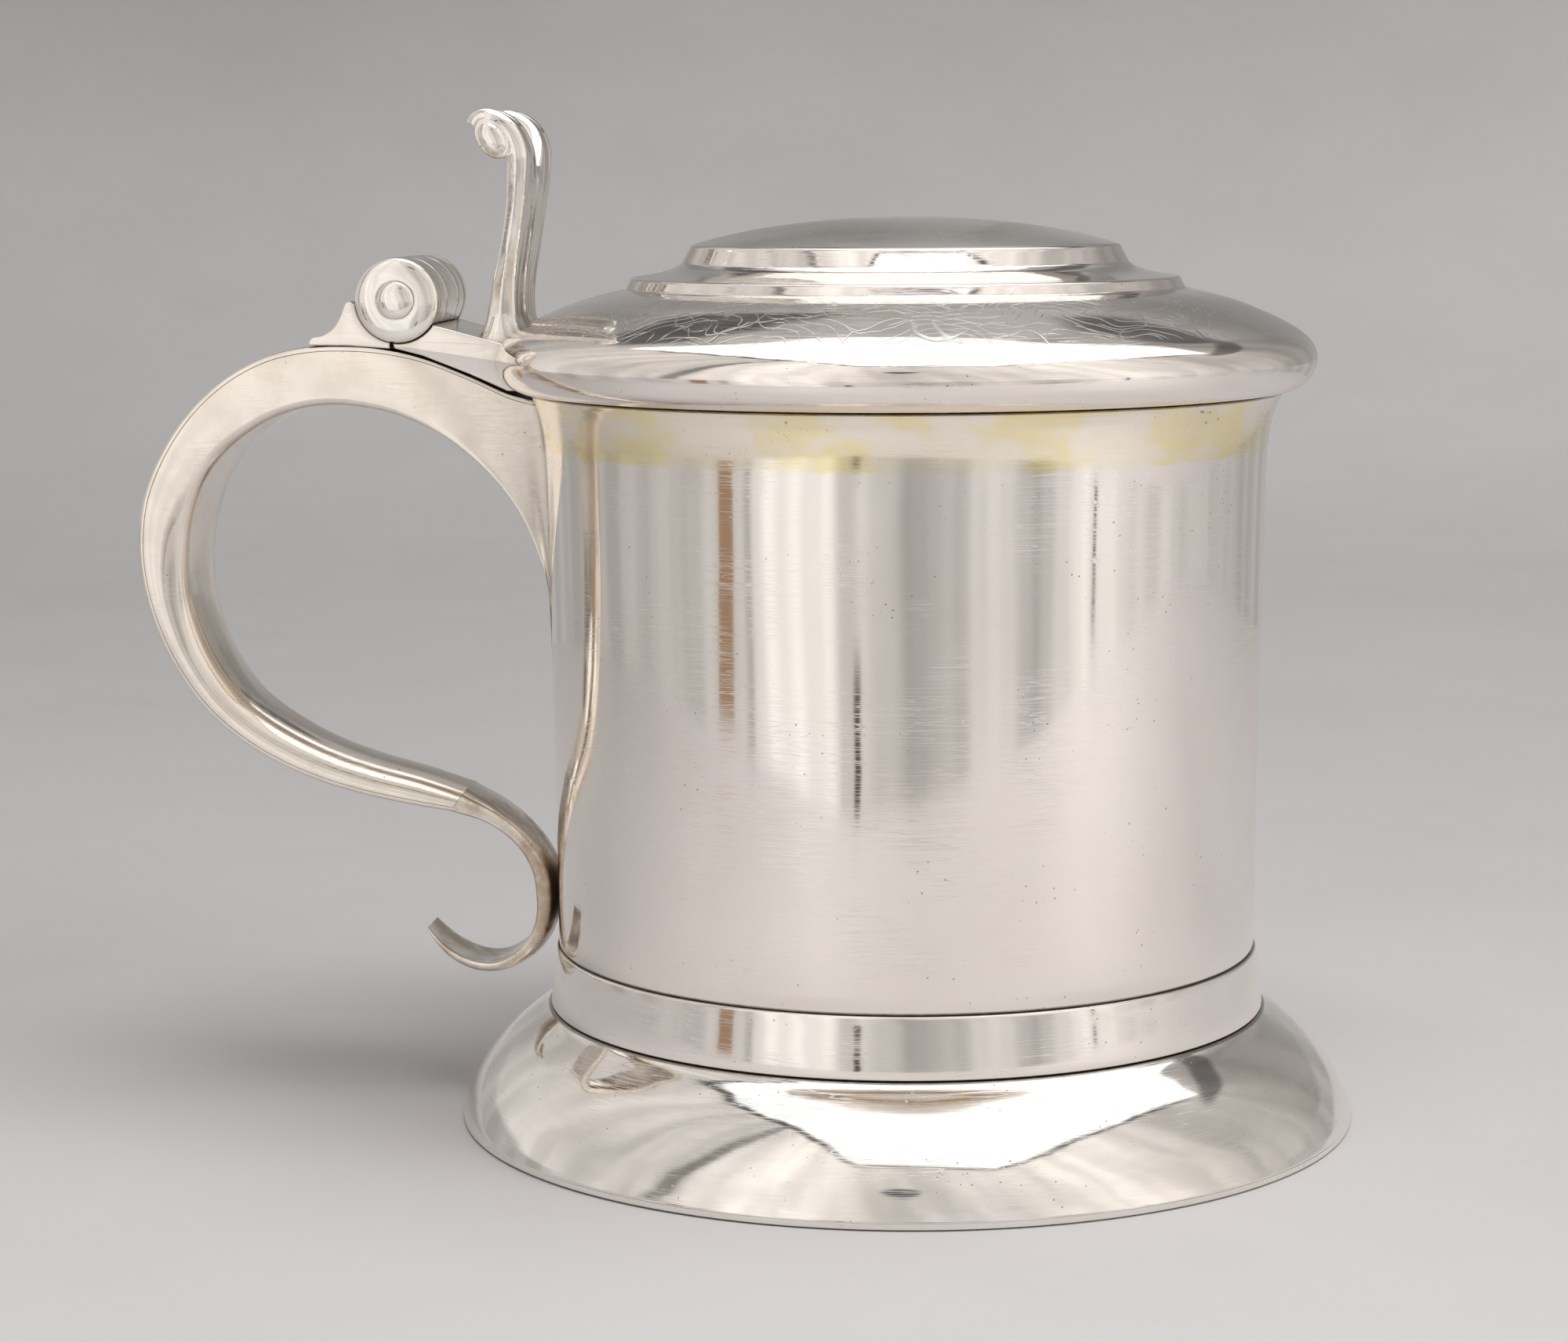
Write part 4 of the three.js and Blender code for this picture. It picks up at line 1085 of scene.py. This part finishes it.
# the softboxes, walls and gaps between them round the object, seen only in its reflections
env = Nodes("surroundings")
env.t.nodes.remove(env.bsdf)
x, y, z = env.sep(env.p)
rad = env.math("SQRT", env.math("ADD", env.math("MULTIPLY", x, x), env.math("MULTIPLY", y, y)))
az = env.math("MULTIPLY", env.math("ARCTAN2", x, env.math("MULTIPLY", y, -1.0)), 180.0 / math.pi)
el = env.math("MULTIPLY", env.math("ARCTAN2", env.math("SUBTRACT", z, 85.0), rad), 180.0 / math.pi)
wob = env.math("MULTIPLY", env.math("SUBTRACT", env.noise(env.p, 0.012, 3.0), 0.5), 2.4)
az_w = env.math("ADD", az, wob)


def ramp(x, lo, hi, stops):
    n = env.add("ShaderNodeValToRGB")
    n.color_ramp.interpolation = "LINEAR"
    els = n.color_ramp.elements
    while len(els) > 1:
        els.remove(els[-1])
    for k, (p, c) in enumerate(stops):
        e = els[0] if k == 0 else els.new((p - lo) / (hi - lo))
        e.position = (p - lo) / (hi - lo)
        e.color = (*c, 1) if isinstance(c, tuple) else (c, c * 0.98, c * 0.96, 1)
    m = env.math("DIVIDE", env.math("SUBTRACT", x, lo), hi - lo)
    env.link(m, n.inputs[0])
    return n.outputs[0]


BROWN_CARD = (0.36, 0.235, 0.15)
# the belt just above the table's edge, which the drum's upper half mirrors
az_b = env.math("MULTIPLY", env.math("SUBTRACT", az_w, 6.6), 1.057)
belt = ramp(az_b, -180, 180, [
    (-180, 0.45), (-140, 0.42), (-112, 0.44), (-80, 0.54), (-64.5, 0.62), (-57.0, 0.66),
    (-54.0, 0.70), (-53.2, 0.50), (-51.8, 0.52), (-51.0, 0.86), (-46, 1.02), (-26, 0.98), (-22.5, 0.66), (-15.0, 0.78),
    (-9, 0.60), (-2, 0.40), (6, 0.44), (17, 0.66), (30, 0.70), (37, 0.50), (42, 0.52), (45, 0.80), (56.5, 0.95), (60.2, 0.93), (75, 0.74),
    (105, 0.56), (135, 0.44),
])


def inside(x, lo, hi, soft):
    """1 between lo and hi."""
    return env.math("MULTIPLY", env.step(x, lo - soft, lo + soft), env.step(x, hi - soft, hi + soft, 1.0, 0.0))


kink = env.math("MULTIPLY", env.math("SUBTRACT", env.math("MULTIPLY_ADD", env.math("SUBTRACT", env.noise(env.vmul(env.p, (0.02, 0.02, 0.16)), 1.0, 2.0), 0.5), 1.6, az), 6.6), 1.057)
belt = env.mix(env.math("MULTIPLY", inside(kink, -63.0, -57.8, 0.25), env.step(z, 5.0, 8.0)), belt, BROWN_CARD)
belt = env.mix(env.math("MULTIPLY", inside(kink, -18.6, -16.6, 0.25), env.step(z, 26.0, 42.0, 1.0, 0.0)), belt, (0.13, 0.085, 0.06))
belt = env.mix(env.math("MULTIPLY", inside(kink, 57.9, 58.9, 0.2), env.step(z, 12.0, 17.0)), belt, (0.13, 0.11, 0.09))

# the room above it, out to the sides and behind the camera
room = ramp(az_w, -180, 180, [
    (-180, 0.34), (-152, 0.40), (-128, 0.66), (-102, 0.80), (-84, 0.68), (-70, 0.72), (-62.5, 0.70), (-61, 0.28), (-57.5, 0.30), (-56, 0.86), (-46, 0.96), (-38, 1.14), (-24, 1.10), (-13, 0.92),
    (0, 0.72), (12, 0.76), (26, 0.86), (40, 0.90), (48, 1.10), (70, 1.08), (82, 0.86), (100, 0.58), (118, 0.64), (136, 0.32), (150, 0.34),
])
fans = env.math("ADD", env.math("MULTIPLY", az_w, 0.085), env.math("MULTIPLY", el, 0.012))
fans = env.noise(env.comb(fans, env.math("MULTIPLY", el, 0.012), 0.0), 1.5, 1.0, 0.4)
fans = env.step(fans, 0.35, 0.65, 0.86, 1.08)
rise = ramp(el, -10, 90, [(-10, 1.0), (12, 0.96), (24, 0.90), (38, 0.98), (50, 1.0), (90, 0.9)])
mm = env.add("ShaderNodeMix", data_type="RGBA", blend_type="MULTIPLY")
mm.inputs[0].default_value = 1.0
env.link(room, mm.inputs[6])
env.link(rise, mm.inputs[7])
room = mm.outputs[2]
back = ramp(el, -10, 90, [
    (-10, 0.42), (4, 0.38), (14, 0.33), (24, 0.27), (30, 0.30), (36, 0.42), (50, 0.46), (90, 0.5),
])
behind = env.step(env.math("ABSOLUTE", az_w), 142, 158)
upper = env.mix(behind, room, back)
# a dark return on either side of the backdrop
for c_az, c_el, h_az, h_el, depth in ((132, 37, 19, 3.6, 0.70), (-156, 42, 17, 7.0, 0.80), (158, 42, 13, 6.5, 0.75)):
    u = env.math("DIVIDE", env.math("SUBTRACT", az_w, c_az), h_az)
    v = env.math("DIVIDE", env.math("SUBTRACT", el, c_el), h_el)
    q = env.math("SQRT", env.math("ADD", env.math("MULTIPLY", u, u), env.math("MULTIPLY", v, v)))
    upper = env.mix(env.math("MULTIPLY", env.step(q, 0.7, 1.15, 1.0, 0.0), depth), upper, (0.04, 0.038, 0.04))
# the lens and its stand
u = env.math("DIVIDE", env.math("SUBTRACT", az_w, 2.0), 5.5)
v = env.math("DIVIDE", env.math("SUBTRACT", el, 33.0), 3.0)
q = env.math("SQRT", env.math("ADD", env.math("MULTIPLY", u, u), env.math("MULTIPLY", v, v)))
upper = env.mix(env.math("MULTIPLY", env.step(q, 0.8, 1.1, 1.0, 0.0), 0.9), upper, (0.05, 0.055, 0.07))

# big overhead softbox, narrower towards the front, with a dark rim
up_ = env.math("MAXIMUM", env.math("SUBTRACT", z, 85.0), 1.0)
hx = env.math("DIVIDE", x, up_)
hy = env.math("DIVIDE", y, up_)
bend = env.math("MULTIPLY", env.math("SUBTRACT", env.noise(env.p, 0.004, 2.0), 0.5), 0.10)
left = env.math("ADD", env.math("SUBTRACT", hx, env.math("MULTIPLY_ADD", hy, -0.42, -0.46)), bend)
rightd = env.math("ADD", env.math("SUBTRACT", env.math("MULTIPLY_ADD", hy, 0.42, 0.78), hx), bend)
frontd = env.math("ADD", hy, 0.71)
backd = env.math("SUBTRACT", 0.60, hy)
d = env.math("MINIMUM", env.math("MINIMUM", left, rightd), env.math("MINIMUM", frontd, backd))
d = env.math("MINIMUM", d, env.math("MULTIPLY", env.math("SUBTRACT", z, 250.0), 0.01))
rim = inside(d, -0.038, 0.0, 0.009)
upper = env.mix(env.math("MULTIPLY", rim, env.step(hy, 0.35, 0.55, 0.97, 0.0)), upper, (0.06, 0.06, 0.065))
upper = env.mix(env.step(d, -0.004, 0.012), upper, (1.32, 1.33, 1.34))
low = env.step(z, 72.0, 110.0, 1.0, 0.0)
glow = env.mix(low, upper, belt)
ragged = env.math("MULTIPLY", fans, env.step(env.noise(env.vmul(env.p, (0.006, 0.006, 0.006)), 1.0, 2.0), 0.2, 0.9, 0.95, 1.05))
ragged = env.math("MAXIMUM", ragged, env.step(d, 0.0, 0.02))
emi = env.add("ShaderNodeEmission")
env.put(emi.inputs["Color"], glow)
env.put(emi.inputs["Strength"], ragged)
env.link(emi.outputs[0], env.out.inputs[0])
EDGE = [(-180, 0.62), (-120, 0.60), (-85, 0.54), (-62, 0.46), (-50, 0.425), (-30, 0.38), (-12, 0.34), (5, 0.35), (25, 0.385), (45, 0.44), (60, 0.51), (78, 0.66), (100, 0.76), (140, 0.66), (180, 0.62)]


def tent_profile(t):
    """Profile of the surroundings at angle t round the drum: where the table ends, then walls and ceiling."""
    a = math.degrees(math.atan2(math.cos(t), -math.sin(t)))
    e = lerp_table(EDGE, a) * (1 + 0.02 * noise.noise(Vector((a / 7.0, 1.7, 0.0))))
    pts = [(e, -0.0003), (e + 0.02, 0.05), (e + 0.10, 0.11), (max(0.80, e + 0.2), 0.28), (1.10, 0.58), (1.22, 0.95), (1.10, 1.35), (0.80, 1.66), (0.40, 1.83), (0.0, 1.88)]
    pts = [tuple(q) for q in spline(pts, 3)]
    pts[-1] = (0.0, 1.88)
    return pts


t = stage_mesh("surroundings_reflected", tent_profile, 180, (AX, 0.0), env.mat)
t.visible_camera = False
t.visible_diffuse = False
t.visible_transmission = False
t.visible_volume_scatter = False
t.visible_shadow = False

world = bpy.data.worlds.new("studio")
bpy.context.scene.world = world
world.use_nodes = True
world.node_tree.nodes["Background"].inputs[0].default_value = (0.96, 0.95, 0.965, 1)
world.node_tree.nodes["Background"].inputs[1].default_value = 0.42


def area(name, loc, target, size, power, colour=(1, 0.985, 0.97)):
    l = bpy.data.lights.new(name, "AREA")
    l.shape = "RECTANGLE"
    l.size, l.size_y = size
    l.energy = power
    l.color = colour
    o = bpy.data.objects.new(name, l)
    o.location = loc
    o.rotation_mode = "QUATERNION"
    o.rotation_quaternion = (Vector(target) - Vector(loc)).to_track_quat("-Z", "Y")
    bpy.context.scene.collection.objects.link(o)
    o.visible_glossy = False
    o.visible_camera = False
    return o


area("softbox_top", (0.25, -0.25, 1.25), (0.02, 0.02, 0.0), (1.0, 0.8), 9.0)
area("softbox_right", (1.15, -0.55, 0.75), (0.0, 0.0, 0.05), (0.7, 0.7), 5.0)

# ------------------------------------------------------------------ camera
a, p, r = (math.radians(v) for v in (5.5, 7.9637, -0.3142))
fwd = Vector((-math.cos(p) * math.sin(a), math.cos(p) * math.cos(a), -math.sin(p)))
rt = Vector((math.cos(a), math.sin(a), 0))
up = Vector((-math.sin(p) * math.sin(a), math.sin(p) * math.cos(a), math.cos(p)))
right = math.cos(r) * rt + math.sin(r) * up
above = -math.sin(r) * rt + math.cos(r) * up
cam_data = bpy.data.cameras.new("camera")
cam_data.lens = 82.26
cam_data.sensor_width = 36.0
cam_data.sensor_fit = "HORIZONTAL"
cam = bpy.data.objects.new("camera", cam_data)
bpy.context.scene.collection.objects.link(cam)
m = Matrix((right, above, -fwd)).transposed().to_4x4()
m.translation = Vector((0.06269, -0.59007, 0.15648))
cam.matrix_world = m
bpy.context.scene.camera = cam
bpy.context.scene.view_settings.view_transform = "Standard"
